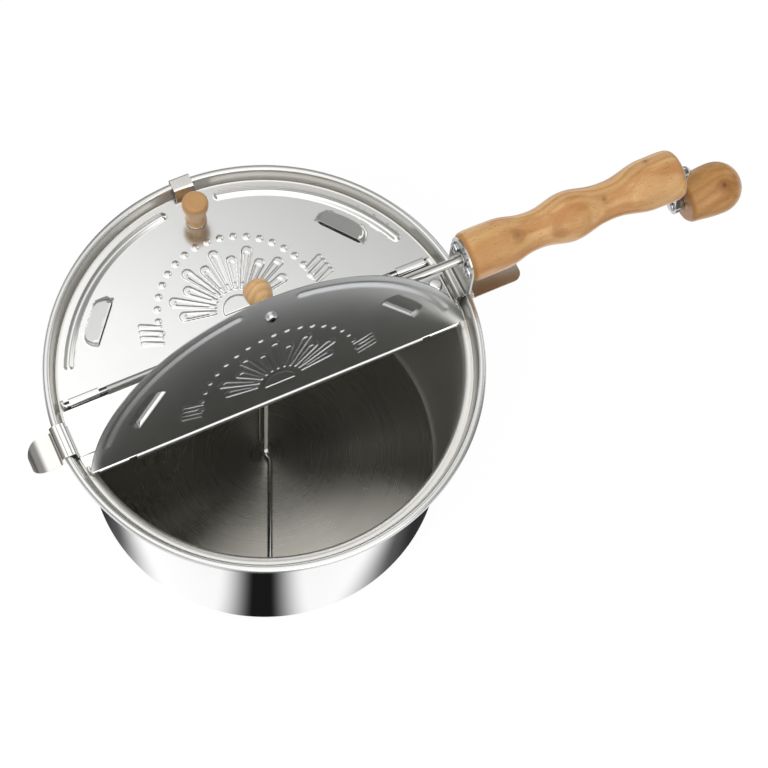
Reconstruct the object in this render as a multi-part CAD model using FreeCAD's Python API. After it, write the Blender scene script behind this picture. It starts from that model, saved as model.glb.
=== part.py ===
import FreeCAD, Part
import math
import os

# Stovetop popcorn popper: a thin steel pot, a lid assembly that lifts off it, two half lids hinged on
# a crossbar, and a crank that turns a stirring wire on the pot's floor through two mitre gears.
# Millimetres. Origin: middle of the pot's base, on the hob. +X runs along the handle to the crank,
# +Y to the rear lid, +Z up. The front lid stands open, leaning on the gear bracket; the rear one is shut.

os.makedirs("parts", exist_ok=True)
V = FreeCAD.Vector

# ---------------------------------------------------------------- driving dimensions
POT_HEIGHT = 147.7          # hob to the top of the rolled rim
RIM_RADIUS = 124.0          # outside of the rolled rim
BASE_RADIUS = 108.1         # outside of the base
BASE_ROUND = 6.0            # radius where base meets wall
POT_SHEET = 0.8
BEAD_RADIUS = 2.1           # radius of the roll itself
COLLAR_RADIUS = 117.4       # inside of the collar at the ledge, from where it leans out to the roll
MOUTH_RADIUS = 111.8        # inner edge of the ledge that the lids lie on
MOUTH_ROUND = 4.0           # the wide bend from the wall into that ledge
LEDGE_Z = 139.3             # top of that ledge

LID_RADIUS = 116.2
LID_SHEET = 0.7
SEAT_GAP = 0.3              # the lid assembly's clearance over the ledge
HINGE_Y = 21.0              # hinge pins lie at y = -21 and +21
HINGE_Z = 141.5
FRONT_LID_OPEN = 101.5      # degrees from shut, as it stands here
LONG_KNUCKLE_END = 87.0     # the crossbar's own knuckle ends at this x, on both sides
LID_KNUCKLE_START = 91.5    # the lids' short knuckles run from here
LID_KNUCKLE_END = 109.0     # to here
PIN_RADIUS = 1.05
RUNNING = 0.08              # radial clearance of a pin in its knuckle
KNUCKLE_RADIUS = 1.9        # outside of a lid's knuckle

BAR_SHEET = 1.0
BAR_HALF_WIDTH = 18.7
STRAP_SHEET = 0.8
STRAP_HALF_WIDTH = 10.0
CLIP_FLEX_X = 121.4         # a clip bends here, on top of its hump over the rim
CLIP_FLEX_GAP = 0.12

AXIS_Z = 177.5              # height of the crank rod and the handle
ROD_RADIUS = 2.4
HANDLE_START = 120.6
HANDLE_END = 256.0
ARM_X = 264.0               # the crank's arm hangs down here
KNOB_Z = 132.0              # height of the crank knob's axle
KNOB_FACE = 270.0
KNOB_END = 308.0

LID_KNOB_Y = 99.5           # distance of a lid's knob from the pot's axis
LID_KNOB_HEIGHT = 22.0

GEAR_TEETH = 12             # both gears, so that the stirrer turns once for each turn of the crank
GEAR_PITCH_RADIUS = 11.4    # at the large end; the two pitch cones meet where the axes cross
GEAR_FACE = 7.0             # length of a tooth

SHAFT_RADIUS = 2.0
WIRE_RADIUS = 1.6
STIRRER_ANGLE = -113.9      # direction of the front arm, degrees from +X
STIRRER_OFFSET = 2.8        # each arm runs this far beside the shaft's axis
STIRRER_REACH = 96.0
FLOOR_GAP = 0.9

# ---------------------------------------------------------------- derived places
SEAT_Z = LEDGE_Z + SEAT_GAP
LID_TOP = SEAT_Z + LID_SHEET
BAR_TOP = SEAT_Z + BAR_SHEET
BEAD_X = RIM_RADIUS - BEAD_RADIUS


# ---------------------------------------------------------------- small tools
def box(x0, x1, y0, y1, z0, z1):
    return Part.makeBox(x1 - x0, y1 - y0, z1 - z0, V(x0, y0, z0))


def rod(start, end, radius):
    """A round bar from start to end."""
    along = end - start
    return Part.makeCylinder(radius, along.Length, start, along)


def sleeve(start, end, outer, inner):
    """A round bar with a round bore right through it."""
    reach = (end - start).normalize() * 1.0
    return rod(start, end, outer).cut(rod(start - reach, end + reach, inner))


def fused(shapes):
    """One clean solid from several that touch or overlap."""
    return shapes[0].multiFuse(shapes[1:]).removeSplitter()


def rounded_edges(corners, closed):
    """Edges through 3-D corners (point, radius), each corner rounded by its own radius."""
    count = len(corners)
    ends = []
    for i, (point, radius) in enumerate(corners):
        inside = closed or 0 < i < count - 1
        if not inside or radius <= 0:
            ends.append((point, None, point))
            continue
        back = (corners[i - 1][0] - point).normalize()
        ahead = (corners[(i + 1) % count][0] - point).normalize()
        half = back.getAngle(ahead) / 2
        reach = radius / math.tan(half)
        middle = (back + ahead).normalize() * (radius / math.sin(half) - radius)
        ends.append((point + back * reach, point + middle, point + ahead * reach))
    edges = []
    for i, (entry, crest, leave) in enumerate(ends):
        if crest is not None:
            edges.append(Part.Arc(entry, crest, leave).toShape())
        if closed or i < count - 1:
            following = ends[(i + 1) % count][0]
            if (following - leave).Length > 1e-6:
                edges.append(Part.makeLine(leave, following))
    return edges


def face_in(plane, corners):
    """A flat face from 2-D corners (u, v, radius); plane turns (u, v) into a point."""
    spots = [(plane(u, v), radius) for u, v, radius in corners]
    return Part.Face(Part.Wire(rounded_edges(spots, True)))


def offset_path(corners, distance):
    """An open path's corners (u, v, radius), moved to the left by distance."""
    moved = []
    for i, (u, v, radius) in enumerate(corners):
        here = V(u, v, 0)
        last, later = corners[max(i - 1, 0)], corners[min(i + 1, len(corners) - 1)]
        into = here - V(last[0], last[1], 0) if i else V(later[0], later[1], 0) - here
        out = V(later[0], later[1], 0) - here if i < len(corners) - 1 else into
        into, out = V(into).normalize(), V(out).normalize()
        left_in, left_out = V(-into.y, into.x, 0), V(-out.y, out.x, 0)
        mitre = (left_in + left_out) * (1 / (1 + left_in.dot(left_out)))
        turn = into.cross(out).z
        bent = radius - math.copysign(distance, distance * turn) if radius else 0
        spot = here + mitre * distance
        moved.append((spot.x, spot.y, bent))
    return moved


def sheet_outline(corners, thickness):
    """The closed outline of bent sheet whose middle line is the open path."""
    left = offset_path(corners, thickness / 2)
    right = offset_path(corners, -thickness / 2)
    return left + right[::-1]


def in_xz(y):
    return lambda u, v: V(u, y, v)


def in_yz(x):
    return lambda u, v: V(x, u, v)


def in_xy(z):
    return lambda u, v: V(u, v, z)


def bent_strip(corners, thickness, half_width):
    """Sheet bent along a path of (x, z, radius) and half_width wide to each side of y = 0."""
    face = face_in(in_xz(-half_width), sheet_outline(corners, thickness))
    return face.extrude(V(0, 2 * half_width, 0))


def wire_along(corners, radius):
    """Round wire bent along 3-D corners (point, bend radius)."""
    path = Part.Wire(rounded_edges(corners, False))
    start = corners[0][0]
    along = corners[1][0] - start
    section = Part.Wire([Part.makeCircle(radius, start, along)])
    return path.makePipeShell([section], True, False)


def turned(profile, centre, axis):
    """Wood turned to a smooth outline of (distance along axis, radius), flat at both ends."""
    side = V(0, 0, 1) if abs(axis.z) < 0.5 else V(1, 0, 0)
    spots = [centre + axis * along + side * radius for along, radius in profile]
    curve = Part.BSplineCurve()
    curve.interpolate(spots)
    start, end = centre + axis * profile[0][0], centre + axis * profile[-1][0]
    edges = [Part.makeLine(start, spots[0]), curve.toShape(), Part.makeLine(spots[-1], end),
             Part.makeLine(end, start)]
    return Part.Face(Part.Wire(edges)).revolve(centre, axis, 360)


def placed(shape, origin, direction):
    """Move a shape made along +Z at the origin so that it starts at origin and runs along direction."""
    moved = shape.copy()
    moved.Placement = FreeCAD.Placement(origin, FreeCAD.Rotation(V(0, 0, 1), direction))
    return moved


def pan_screw(head_radius, head_height, shank_radius, length):
    """Cross-recess screw: its head above z = 0, its shank below."""
    outline = [(0, -length, 0), (shank_radius, -length, 0), (shank_radius, 0, 0),
               (head_radius, 0, 0), (head_radius, head_height, head_height * 0.7), (0, head_height, 0)]
    screw = face_in(in_xz(0), outline).revolve(V(0, 0, 0), V(0, 0, 1), 360)
    slot_half, slot_deep = head_radius * 0.55, head_height * 0.6
    for across in (0, 90):
        slot = box(-slot_half, slot_half, -0.45, 0.45, head_height - slot_deep, head_height + 1)
        slot.rotate(V(0, 0, 0), V(0, 0, 1), across)
        screw = screw.cut(slot)
    return screw


def rivet(head_radius, head_height, shank_radius, grip, tail_radius, tail_height):
    """Solid rivet: domed head above z = 0, a grip long enough for the sheets, an upset tail below."""
    outline = [(0, -grip - tail_height, 0), (tail_radius, -grip - tail_height, tail_height * 0.6),
               (tail_radius, -grip, 0), (shank_radius, -grip, 0), (shank_radius, 0, 0),
               (head_radius, 0, 0), (head_radius, head_height, head_height * 0.8), (0, head_height, 0)]
    return face_in(in_xz(0), outline).revolve(V(0, 0, 0), V(0, 0, 1), 360)


def save(node, shape):
    shape.exportStep("parts/" + node + ".step")
    print(node, "solids", len(shape.Solids), "volume %.1f" % shape.Volume, "valid", shape.isValid())


# ---------------------------------------------------------------- pot
def make_pot():
    """Pressed pot: flat base, slightly flared wall, lid ledge, leaning collar and rolled rim."""
    middle = POT_SHEET / 2
    wall_bottom = BASE_RADIUS - middle
    wall_top = MOUTH_RADIUS + middle
    collar, rim_in = COLLAR_RADIUS + middle, RIM_RADIUS - 2 * BEAD_RADIUS + middle
    ledge, roll = LEDGE_Z - middle, BEAD_RADIUS - middle
    rim_out, rim_top, rim_low = RIM_RADIUS - middle, POT_HEIGHT - middle, POT_HEIGHT - 2 * BEAD_RADIUS + middle
    path = [(0, middle, 0), (wall_bottom, middle, BASE_ROUND - middle), (wall_top, ledge, MOUTH_ROUND),
            (collar, ledge, 1.1), (rim_in, rim_top, roll), (rim_out, rim_top, roll),
            (rim_out, rim_low, roll), (BEAD_X - 0.4, rim_low, 0)]
    section = face_in(in_xz(0), sheet_outline(path, POT_SHEET))
    return section.revolve(V(0, 0, 0), V(0, 0, 1), 360)


# ---------------------------------------------------------------- lids
RIB_RADIUS = 110.0          # the arc ribs' middle line
RIB_ROLL = 2.9              # radius of a rib's round back
RIB_RISE = 1.3
RIB_START, RIB_FINISH = 9.2, 67.0   # degrees either side of the knob
VENT_MIDDLE = V(72.5, 59.1, 0)      # middle of a steam vent's straight slit
VENT_ANGLE = 38.1                   # degrees: the way the vent bulges from its slit
VENT_HALF_LENGTH = 15.4
VENT_DEPTH = 10.8
VENT_RISE = 2.8
VENT_DRAFT = 0.6             # how far a hood's end walls lean in, per mm of height


def rib(roll, sign):
    """The round body of one arc rib, of which only the top shows above the sheet."""
    centre_z = LID_TOP + RIB_RISE - RIB_ROLL
    sweep = RIB_FINISH - RIB_START
    arc = Part.makeTorus(RIB_RADIUS, roll, V(0, 0, centre_z), V(0, 0, 1), 0, 360, sweep)
    first = 90 - sign * RIB_START if sign < 0 else 90 - RIB_FINISH
    arc.rotate(V(0, 0, 0), V(0, 0, 1), first)
    shapes = [arc]
    for angle in (first, first + sweep):
        turn = math.radians(angle)
        centre = V(RIB_RADIUS * math.cos(turn), RIB_RADIUS * math.sin(turn), centre_z)
        shapes.append(Part.makeSphere(roll, centre))
    return shapes[0].multiFuse(shapes[1:])


def vent_outline(shrink, height):
    """Plan of a vent's hood: straight along the slit, square at both ends, gently curved at the back."""
    half_length, depth = VENT_HALF_LENGTH - shrink, VENT_DEPTH - shrink
    points = []
    for k in range(25):
        turn = math.radians(-90 + 7.5 * k)
        across, along = abs(math.cos(turn)) ** 0.7, math.copysign(abs(math.sin(turn)) ** 0.7, turn)
        points.append(V(depth * across, half_length * along, height))
    points[0].x = points[-1].x = 0
    curve = Part.BSplineCurve()
    curve.interpolate(points)
    return Part.Wire([curve.toShape(), Part.makeLine(points[-1], points[0])])


def vent_body(inset):
    """Flat-faced hood behind the vent's slit: level with the sheet at its back, highest at the slit."""
    low = -LID_SHEET - 2 * inset
    walls = Part.makeLoft([vent_outline(inset + VENT_DRAFT * low, low),
                           vent_outline(inset + VENT_DRAFT * 3.4, 3.4)], True, True)
    face = [(0, low), (VENT_DEPTH + 3, low), (VENT_DEPTH + 3, 0.1 - inset), (VENT_DEPTH, 0.1 - inset),
            (0, VENT_RISE - inset)]
    wedge = Part.Face(Part.makePolygon([V(x, -20, z) for x, z in face + face[:1]])).extrude(V(0, 40, 0))
    hood = walls.common(wedge)
    hood.rotate(V(0, 0, 0), V(0, 0, 1), VENT_ANGLE)
    hood.translate(VENT_MIDDLE + V(0, 0, LID_TOP))
    return hood


def mirrored(shape):
    return shape.mirror(V(0, 0, 0), V(1, 0, 0))


def make_rear_lid():
    """Shut half lid: sheet with two arc ribs, two louvre vents and a knuckle at each end.

    Beside each knuckle the sheet steps up and runs over the hinge line, where it curls down."""
    disc = Part.makeCylinder(LID_RADIUS, LID_SHEET, V(0, 0, SEAT_Z))
    middle_edge = HINGE_Y + 2.7
    plate = disc.common(box(-LID_RADIUS, LID_RADIUS, middle_edge, LID_RADIUS + 1, SEAT_Z - 1, LID_TOP + 1))
    parts = [plate]
    low, high = SEAT_Z + LID_SHEET / 2, HINGE_Z + KNUCKLE_RADIUS - LID_SHEET / 2
    step = [(middle_edge + 1.5, low, 0), (middle_edge - 0.1, low, 0.4), (middle_edge - 0.1, high, 0.5),
            (HINGE_Y, high, 0)]
    for side in (-1, 1):
        near, far = sorted((side * LID_KNUCKLE_START, side * LID_KNUCKLE_END))
        parts.append(rod(V(near, HINGE_Y, HINGE_Z), V(far, HINGE_Y, HINGE_Z), KNUCKLE_RADIUS))
        leaf = face_in(in_yz(near), sheet_outline(step, LID_SHEET))
        parts.append(leaf.extrude(V(far - near, 0, 0)))
    above = box(-LID_RADIUS, LID_RADIUS, 0, LID_RADIUS, SEAT_Z + LID_SHEET / 2, LID_TOP + 5)
    for sign in (-1, 1):
        parts.append(rib(RIB_ROLL, sign).common(above))
    lid = parts[0].multiFuse(parts[1:])
    for sign in (-1, 1):
        lid = lid.cut(rib(RIB_ROLL - LID_SHEET, sign))
    outer, inner = vent_body(0), vent_body(LID_SHEET)
    shell = outer.cut(inner)
    for vent, hollow in ((shell, inner), (mirrored(shell), mirrored(inner))):
        lid = lid.cut(hollow).fuse(vent)
    bore = rod(V(-LID_RADIUS, HINGE_Y, HINGE_Z), V(LID_RADIUS, HINGE_Y, HINGE_Z), PIN_RADIUS + RUNNING)
    screw_hole = rod(V(0, LID_KNOB_Y, SEAT_Z - 1), V(0, LID_KNOB_Y, LID_TOP + 1), 1.8)
    return lid.cut(bore).cut(screw_hole).removeSplitter()


def make_lid_knob(foot_z):
    """Turned bobbin knob standing on foot_z over the rear lid."""
    outline = [(0, 6.1), (1.5, 6.2), (4, 5.75), (7, 5.6), (10, 5.9), (13, 6.8), (15.5, 7.5),
               (18.2, 7.65), (20.6, 7.3), (21.7, 6.3), (LID_KNOB_HEIGHT, 5.0)]
    knob = turned(outline, V(0, LID_KNOB_Y, foot_z), V(0, 0, 1))
    return knob.cut(rod(V(0, LID_KNOB_Y, foot_z - 1), V(0, LID_KNOB_Y, foot_z + 14), 1.55))


def make_lid_knob_screw():
    return placed(pan_screw(3.2, 1.9, 1.5, 13.5), V(0, LID_KNOB_Y, SEAT_Z), V(0, 0, -1))


def make_lid_latch():
    """Strip under the rear knob that runs out over the rim and turns down outside it."""
    middle = STRAP_SHEET / 2
    over = POT_HEIGHT + 0.4 + middle
    outside = RIM_RADIUS + 0.5 + middle
    path = [(LID_KNOB_Y - 7, LID_TOP + middle, 0), (113.2, LID_TOP + middle, 1.5), (116.8, over, 2.0),
            (outside, over, 0.9), (outside, POT_HEIGHT - 5.5, 0)]
    face = face_in(in_yz(-6.0), sheet_outline(path, STRAP_SHEET))
    strip = face.extrude(V(12.0, 0, 0))
    return strip.cut(rod(V(0, LID_KNOB_Y, LID_TOP - 1), V(0, LID_KNOB_Y, LID_TOP + 2), 1.8))


def to_front(shape):
    """Turn a shut rear-lid part to the front side and swing it open."""
    front = shape.copy()
    front.rotate(V(0, 0, 0), V(0, 0, 1), 180)
    front.rotate(V(0, -HINGE_Y, HINGE_Z), V(1, 0, 0), -FRONT_LID_OPEN)
    return front


# ---------------------------------------------------------------- crossbar and hinge pins
CLIP_RIVET_X = 108.4
CLIP_RIVET_Y = 5.0
RIVET_SHANK = 2.0
BUSH_OUTER = 4.0
BRACKET_RIVET_X = (-10.4, 16.2)


def make_crossbar():
    """Flat bar between the lids, with a long rolled knuckle on each side for the hinge pins."""
    disc = Part.makeCylinder(LID_RADIUS, BAR_SHEET, V(0, 0, SEAT_Z))
    bar = disc.common(box(-LID_RADIUS, LID_RADIUS, -BAR_HALF_WIDTH, BAR_HALF_WIDTH, SEAT_Z, BAR_TOP))
    parts = [bar]
    for side in (-1, 1):
        parts.append(rod(V(-LONG_KNUCKLE_END, side * HINGE_Y, HINGE_Z),
                         V(LONG_KNUCKLE_END, side * HINGE_Y, HINGE_Z), 2.3))
        near, far = sorted((side * (BAR_HALF_WIDTH - 1), side * HINGE_Y))
        parts.append(box(-LONG_KNUCKLE_END, LONG_KNUCKLE_END, near, far, SEAT_Z, BAR_TOP))
    bar = fused(parts)
    for side in (-1, 1):
        pin = rod(V(-LID_RADIUS, side * HINGE_Y, HINGE_Z), V(LID_RADIUS, side * HINGE_Y, HINGE_Z),
                  PIN_RADIUS + RUNNING)
        bar = bar.cut(pin)
    holes = [(0, 0, BUSH_OUTER)] + [(x, 0, 1.5) for x in BRACKET_RIVET_X]
    holes += [(CLIP_RIVET_X, side * CLIP_RIVET_Y, RIVET_SHANK) for side in (-1, 1)]
    for x, y, radius in holes:
        bar = bar.cut(rod(V(x, y, SEAT_Z - 3), V(x, y, BAR_TOP + 1), radius))
    return bar


def make_hinge_pin(side, corner_x, rise):
    """Wire pin whose left end is bent round towards +Y so that it can't slip out."""
    y = side * HINGE_Y
    path = [(V(LID_KNUCKLE_END + 1.4, y, HINGE_Z), 0), (V(corner_x, y, HINGE_Z), 1.9),
            (V(corner_x, y + 3.8, HINGE_Z + rise), 0)]
    return wire_along(path, PIN_RADIUS)


# ---------------------------------------------------------------- clips
BRACKET_SHEET = 1.2


CLIP_HUMP_TOP = POT_HEIGHT + 0.5 + STRAP_SHEET


def clip_path(tab):
    """Middle line of a clip on the +X side: foot, hump over the rim, outer leg, thumb tab."""
    middle = STRAP_SHEET / 2
    foot, over, outside = BAR_TOP + middle, CLIP_HUMP_TOP - middle, RIM_RADIUS + 0.7 + middle
    return [(98.5, foot, 0), (116.0, foot, 1.2), (116.5, over, 3.2),
            (outside, over, 3.4), (outside, 139.6, 1.8)] + tab


def split_clip(strip, tab_plan):
    """Cut a clip into its fixed foot and its moving end, and trim the tab to its plan."""
    low, high = -300, 300
    foot = strip.common(box(0, CLIP_FLEX_X, low, high, low, high))
    moving = strip.common(box(CLIP_FLEX_X + CLIP_FLEX_GAP, high, low, high, low, high))
    return foot, moving.common(tab_plan)


def make_right_clip():
    """Riveted on, with a long flat thumb tab that reaches out under the handle."""
    tip = 158.0
    strip = bent_strip(clip_path([(tip, 139.6, 0)]), STRAP_SHEET, STRAP_HALF_WIDTH)
    half = STRAP_HALF_WIDTH
    plan = face_in(in_xy(100), [(100, -half, 0), (tip, -half, 6), (tip, half, 6), (100, half, 0)])
    foot, moving = split_clip(strip, plan.extrude(V(0, 0, 100)))
    for y in (-CLIP_RIVET_Y, CLIP_RIVET_Y):
        foot = foot.cut(rod(V(CLIP_RIVET_X, y, 130), V(CLIP_RIVET_X, y, 150), RIVET_SHANK))
    return foot, moving


def make_left_clip():
    """Welded on, with a short thumb tab that curls down; made on the +X side, then turned round."""
    tip = 141.6
    strip = bent_strip(clip_path([(135.6, 139.6, 5.0), (tip, 133.6, 0)]), STRAP_SHEET, STRAP_HALF_WIDTH)
    half = STRAP_HALF_WIDTH
    plan = face_in(in_xy(100), [(100, -half, 0), (tip, -half, 8), (tip, half, 8), (100, half, 0)])
    pieces = split_clip(strip, plan.extrude(V(0, 0, 100)))
    for piece in pieces:
        piece.rotate(V(0, 0, 0), V(0, 0, 1), 180)
    return pieces


def make_clip_rivets():
    """Two rivets through the handle bracket, the right clip's foot and the crossbar."""
    top = BAR_TOP + STRAP_SHEET + BRACKET_SHEET
    rivets = []
    for y in (-CLIP_RIVET_Y, CLIP_RIVET_Y):
        blank = rivet(4.1, 1.8, RIVET_SHANK, top - SEAT_Z, 2.4, 0.5)
        blank.translate(V(CLIP_RIVET_X, y, top))
        rivets.append(blank)
    return Part.makeCompound(rivets)


# ---------------------------------------------------------------- handle
SCREW_SPOTS = ((-8.1, AXIS_Z - 0.8), (8.1, AXIS_Z - 0.8))
PLATE_HALF_WIDTH = 12.9
PLATE_BOTTOM = 152.0
HANDLE_BUSH_OUTER = 3.3


def make_handle_bracket():
    """Bent strap: riveted on the right clip's foot, over its hump, then up as the handle's end plate."""
    middle = BRACKET_SHEET / 2
    foot = BAR_TOP + STRAP_SHEET + middle
    over = CLIP_HUMP_TOP + 0.3 + middle
    plate_x = HANDLE_START - BRACKET_SHEET
    path = [(98.5, foot, 0), (114.3, foot, 1.5), (114.8, over, 2.0), (plate_x + middle, over, 1.8),
            (plate_x + middle, AXIS_Z - 10, 0)]
    strap = bent_strip(path, BRACKET_SHEET, STRAP_HALF_WIDTH)
    half = PLATE_HALF_WIDTH
    low = face_in(in_yz(plate_x), [(-half, PLATE_BOTTOM, 2.5), (half, PLATE_BOTTOM, 2.5),
                                   (half, AXIS_Z, 0), (-half, AXIS_Z, 0)])
    plate = low.extrude(V(BRACKET_SHEET, 0, 0))
    crown = rod(V(plate_x, 0, AXIS_Z - 0.8), V(HANDLE_START, 0, AXIS_Z - 0.8), half)
    bracket = fused([strap, plate, crown])
    for y in (-CLIP_RIVET_Y, CLIP_RIVET_Y):
        bracket = bracket.cut(rod(V(CLIP_RIVET_X, y, 130), V(CLIP_RIVET_X, y, 148), RIVET_SHANK))
    for y, z in SCREW_SPOTS:
        bracket = bracket.cut(rod(V(plate_x - 1, y, z), V(HANDLE_START + 1, y, z), 1.75))
    return bracket.cut(rod(V(plate_x - 1, 0, AXIS_Z), V(HANDLE_START + 1, 0, AXIS_Z), HANDLE_BUSH_OUTER))


# distance from the near end, and radius
HANDLE_PROFILE = [(0, 12.7), (1.0, 13.8), (3.2, 14.5), (8, 14.65), (18, 14.6), (24, 14.3), (29.5, 13.3),
                  (35, 11.9), (41, 11.15), (47, 11.2), (53, 12.3), (59, 13.8), (65, 14.5), (70.5, 14.1),
                  (76, 12.9), (82, 11.6), (88, 11.05), (94, 11.1), (100, 12.0), (107, 13.7), (113, 14.8),
                  (120, 15.0), (129, 15.0), (132.6, 14.5), (134.6, 13.4), (HANDLE_END - HANDLE_START, 12.3)]


def make_handle():
    """Turned grip with two waists, bored for the crank rod."""
    grip = turned(HANDLE_PROFILE, V(HANDLE_START, 0, AXIS_Z), V(1, 0, 0))
    grip = grip.cut(rod(V(HANDLE_START - 5, 0, AXIS_Z), V(HANDLE_END + 5, 0, AXIS_Z), HANDLE_BUSH_OUTER))
    for y, z in SCREW_SPOTS:
        grip = grip.cut(rod(V(HANDLE_START - 5, y, z), V(HANDLE_START + 16, y, z), 1.65))
    return grip


def make_handle_screws():
    plate_x = HANDLE_START - BRACKET_SHEET
    return Part.makeCompound([placed(pan_screw(3.4, 2.0, 1.6, 15.0), V(plate_x, y, z), V(-1, 0, 0))
                              for y, z in SCREW_SPOTS])


def make_handle_bush(flange_x, direction):
    """Flanged bush that the crank rod runs in, pushed into one end of the grip."""
    flange = sleeve(V(flange_x, 0, AXIS_Z), V(flange_x + direction * 0.9, 0, AXIS_Z), 4.5, ROD_RADIUS + 0.06)
    body = sleeve(V(flange_x, 0, AXIS_Z), V(flange_x - direction * 9.0, 0, AXIS_Z),
                  HANDLE_BUSH_OUTER - 0.02, ROD_RADIUS + 0.06)
    return fused([flange, body])


# ---------------------------------------------------------------- gear bracket and bushes
BRACKET_WALLS = (-14.0, 20.6)       # inner faces of the U bracket's two walls
BRACKET_HALF_WIDTH = 9.0
BRACKET_CROWN = 14.3                # round heads of the walls, which the open front lid leans on
SHAFT_BUSH_TOP = 150.0


def make_gear_bracket():
    """U of sheet on the crossbar whose walls carry the end of the crank rod."""
    left, right = BRACKET_WALLS
    foot = BAR_TOP + BRACKET_SHEET / 2
    path = [(left - BRACKET_SHEET / 2, AXIS_Z, 0), (left - BRACKET_SHEET / 2, foot, 1.6),
            (right + BRACKET_SHEET / 2, foot, 1.6), (right + BRACKET_SHEET / 2, AXIS_Z, 0)]
    bracket = bent_strip(path, BRACKET_SHEET, BRACKET_HALF_WIDTH)
    crowns = [rod(V(x, 0, AXIS_Z), V(x + BRACKET_SHEET, 0, AXIS_Z), BRACKET_CROWN)
              for x in (left - BRACKET_SHEET, right)]
    bracket = fused([bracket] + crowns)
    bracket = bracket.cut(rod(V(left - 5, 0, AXIS_Z), V(right + 5, 0, AXIS_Z), 3.4))
    bracket = bracket.cut(rod(V(0, 0, BAR_TOP - 5), V(0, 0, BAR_TOP + 5), BUSH_OUTER))
    for x in BRACKET_RIVET_X:
        bracket = bracket.cut(rod(V(x, 0, BAR_TOP - 5), V(x, 0, BAR_TOP + 5), 1.5))
    return bracket


def make_gear_bracket_rivets():
    top = BAR_TOP + BRACKET_SHEET
    rivets = []
    for x in BRACKET_RIVET_X:
        blank = rivet(2.7, 1.3, 1.5, top - SEAT_Z, 2.3, 0.9)
        blank.translate(V(x, 0, top))
        rivets.append(blank)
    return Part.makeCompound(rivets)


def make_bracket_bushes():
    """Two flanged bushes in the U bracket's walls, flanges outside."""
    left, right = BRACKET_WALLS
    bushes = []
    for inner_face, out in ((left, -1), (right, 1)):
        wall_out = inner_face + out * BRACKET_SHEET
        body = sleeve(V(inner_face, 0, AXIS_Z), V(wall_out, 0, AXIS_Z), 3.38, ROD_RADIUS + 0.06)
        flange = sleeve(V(wall_out, 0, AXIS_Z), V(wall_out + out * 1.0, 0, AXIS_Z), 5.0, ROD_RADIUS + 0.06)
        bushes.append(fused([body, flange]))
    return Part.makeCompound(bushes)


def make_shaft_bush():
    """Long bush through the bracket and the crossbar that guides the stirrer's shaft."""
    shoulder = BAR_TOP + BRACKET_SHEET
    bore = SHAFT_RADIUS + 0.07
    body = sleeve(V(0, 0, SEAT_Z - 2.4), V(0, 0, SHAFT_BUSH_TOP), BUSH_OUTER - 0.02, bore)
    collar = sleeve(V(0, 0, shoulder), V(0, 0, shoulder + 1.5), 6.2, bore)
    return fused([body, collar])


# ---------------------------------------------------------------- gears
TOOTH_HEAD = 1.3            # above the pitch cone, at the large end
TOOTH_FOOT = 1.75           # below it
TOOTH_HALF_WIDTHS = (1.75, 1.22, 0.62)      # at root, pitch cone and tip
GEAR_HUB = 6.0


def mitre_gear(first_tooth, bore, hub_end):
    """Mitre gear below its cone's point at the origin, axis along Z, hub down to -hub_end."""
    lean = 1 / math.sqrt(2)
    radius = GEAR_PITCH_RADIUS
    small = 1 - GEAR_FACE / (radius / lean)
    root_r, root_z = radius - TOOTH_FOOT * lean, -radius - TOOTH_FOOT * lean
    back_r, back_z = root_r - 2.2, root_z - 2.2
    outline = [(bore, root_z * small, 0), (root_r * small, root_z * small, 0), (root_r, root_z, 0),
               (back_r, back_z, 0), (GEAR_HUB, back_z, 0), (GEAR_HUB, -hub_end, 0.6), (bore, -hub_end, 0)]
    gear = face_in(in_xz(0), outline).revolve(V(0, 0, 0), V(0, 0, 1), 360)
    middle = V(radius, 0, -radius)
    outward, across = V(lean, 0, lean), V(0, 1, 0)
    root_w, pitch_w, tip_w = TOOTH_HALF_WIDTHS
    steps = [(-TOOTH_FOOT - 0.5, root_w + 0.18), (-TOOTH_FOOT, root_w), (0, pitch_w), (TOOTH_HEAD, tip_w)]
    spots = [middle + outward * rise + across * -half for rise, half in steps]
    spots += [middle + outward * rise + across * half for rise, half in reversed(steps)]
    large = Part.makePolygon(spots + spots[:1])
    little = Part.makePolygon([spot * small for spot in spots + spots[:1]])
    tooth = Part.makeLoft([large, little], True, True)
    teeth = []
    for i in range(GEAR_TEETH):
        one = tooth.copy()
        one.rotate(V(0, 0, 0), V(0, 0, 1), first_tooth + i * 360 / GEAR_TEETH)
        teeth.append(one)
    return fused([gear] + teeth)


def make_driven_gear():
    """On the stirrer's shaft; a gap faces the drive gear."""
    gear = mitre_gear(180 / GEAR_TEETH, SHAFT_RADIUS + 0.02, AXIS_Z - SHAFT_BUSH_TOP - 0.3)
    gear.translate(V(0, 0, AXIS_Z))
    return gear.cut(rod(V(0, 0, 154), V(12, 0, 154), 1.5))


def make_driven_gear_screw():
    return rod(V(SHAFT_RADIUS + 0.02, 0, 154), V(GEAR_HUB - 0.4, 0, 154), 1.48)


def make_drive_gear():
    """On the crank rod; a tooth points down into the other gear's gap."""
    gear = mitre_gear(0, ROD_RADIUS + 0.02, 20.2)
    gear.rotate(V(0, 0, 0), V(0, 1, 0), -90)
    gear.translate(V(0, 0, AXIS_Z))
    return gear.cut(rod(V(17.4, 0, AXIS_Z), V(17.4, 0, AXIS_Z + 12), 1.5))


def make_drive_gear_screw():
    return rod(V(17.4, 0, AXIS_Z + ROD_RADIUS + 0.02), V(17.4, 0, AXIS_Z + GEAR_HUB - 0.4), 1.48)


# ---------------------------------------------------------------- crank
ROD_START = -18.6
EYE_HALF_THICK = 1.6
EYE_RADIUS = 5.6


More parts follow.
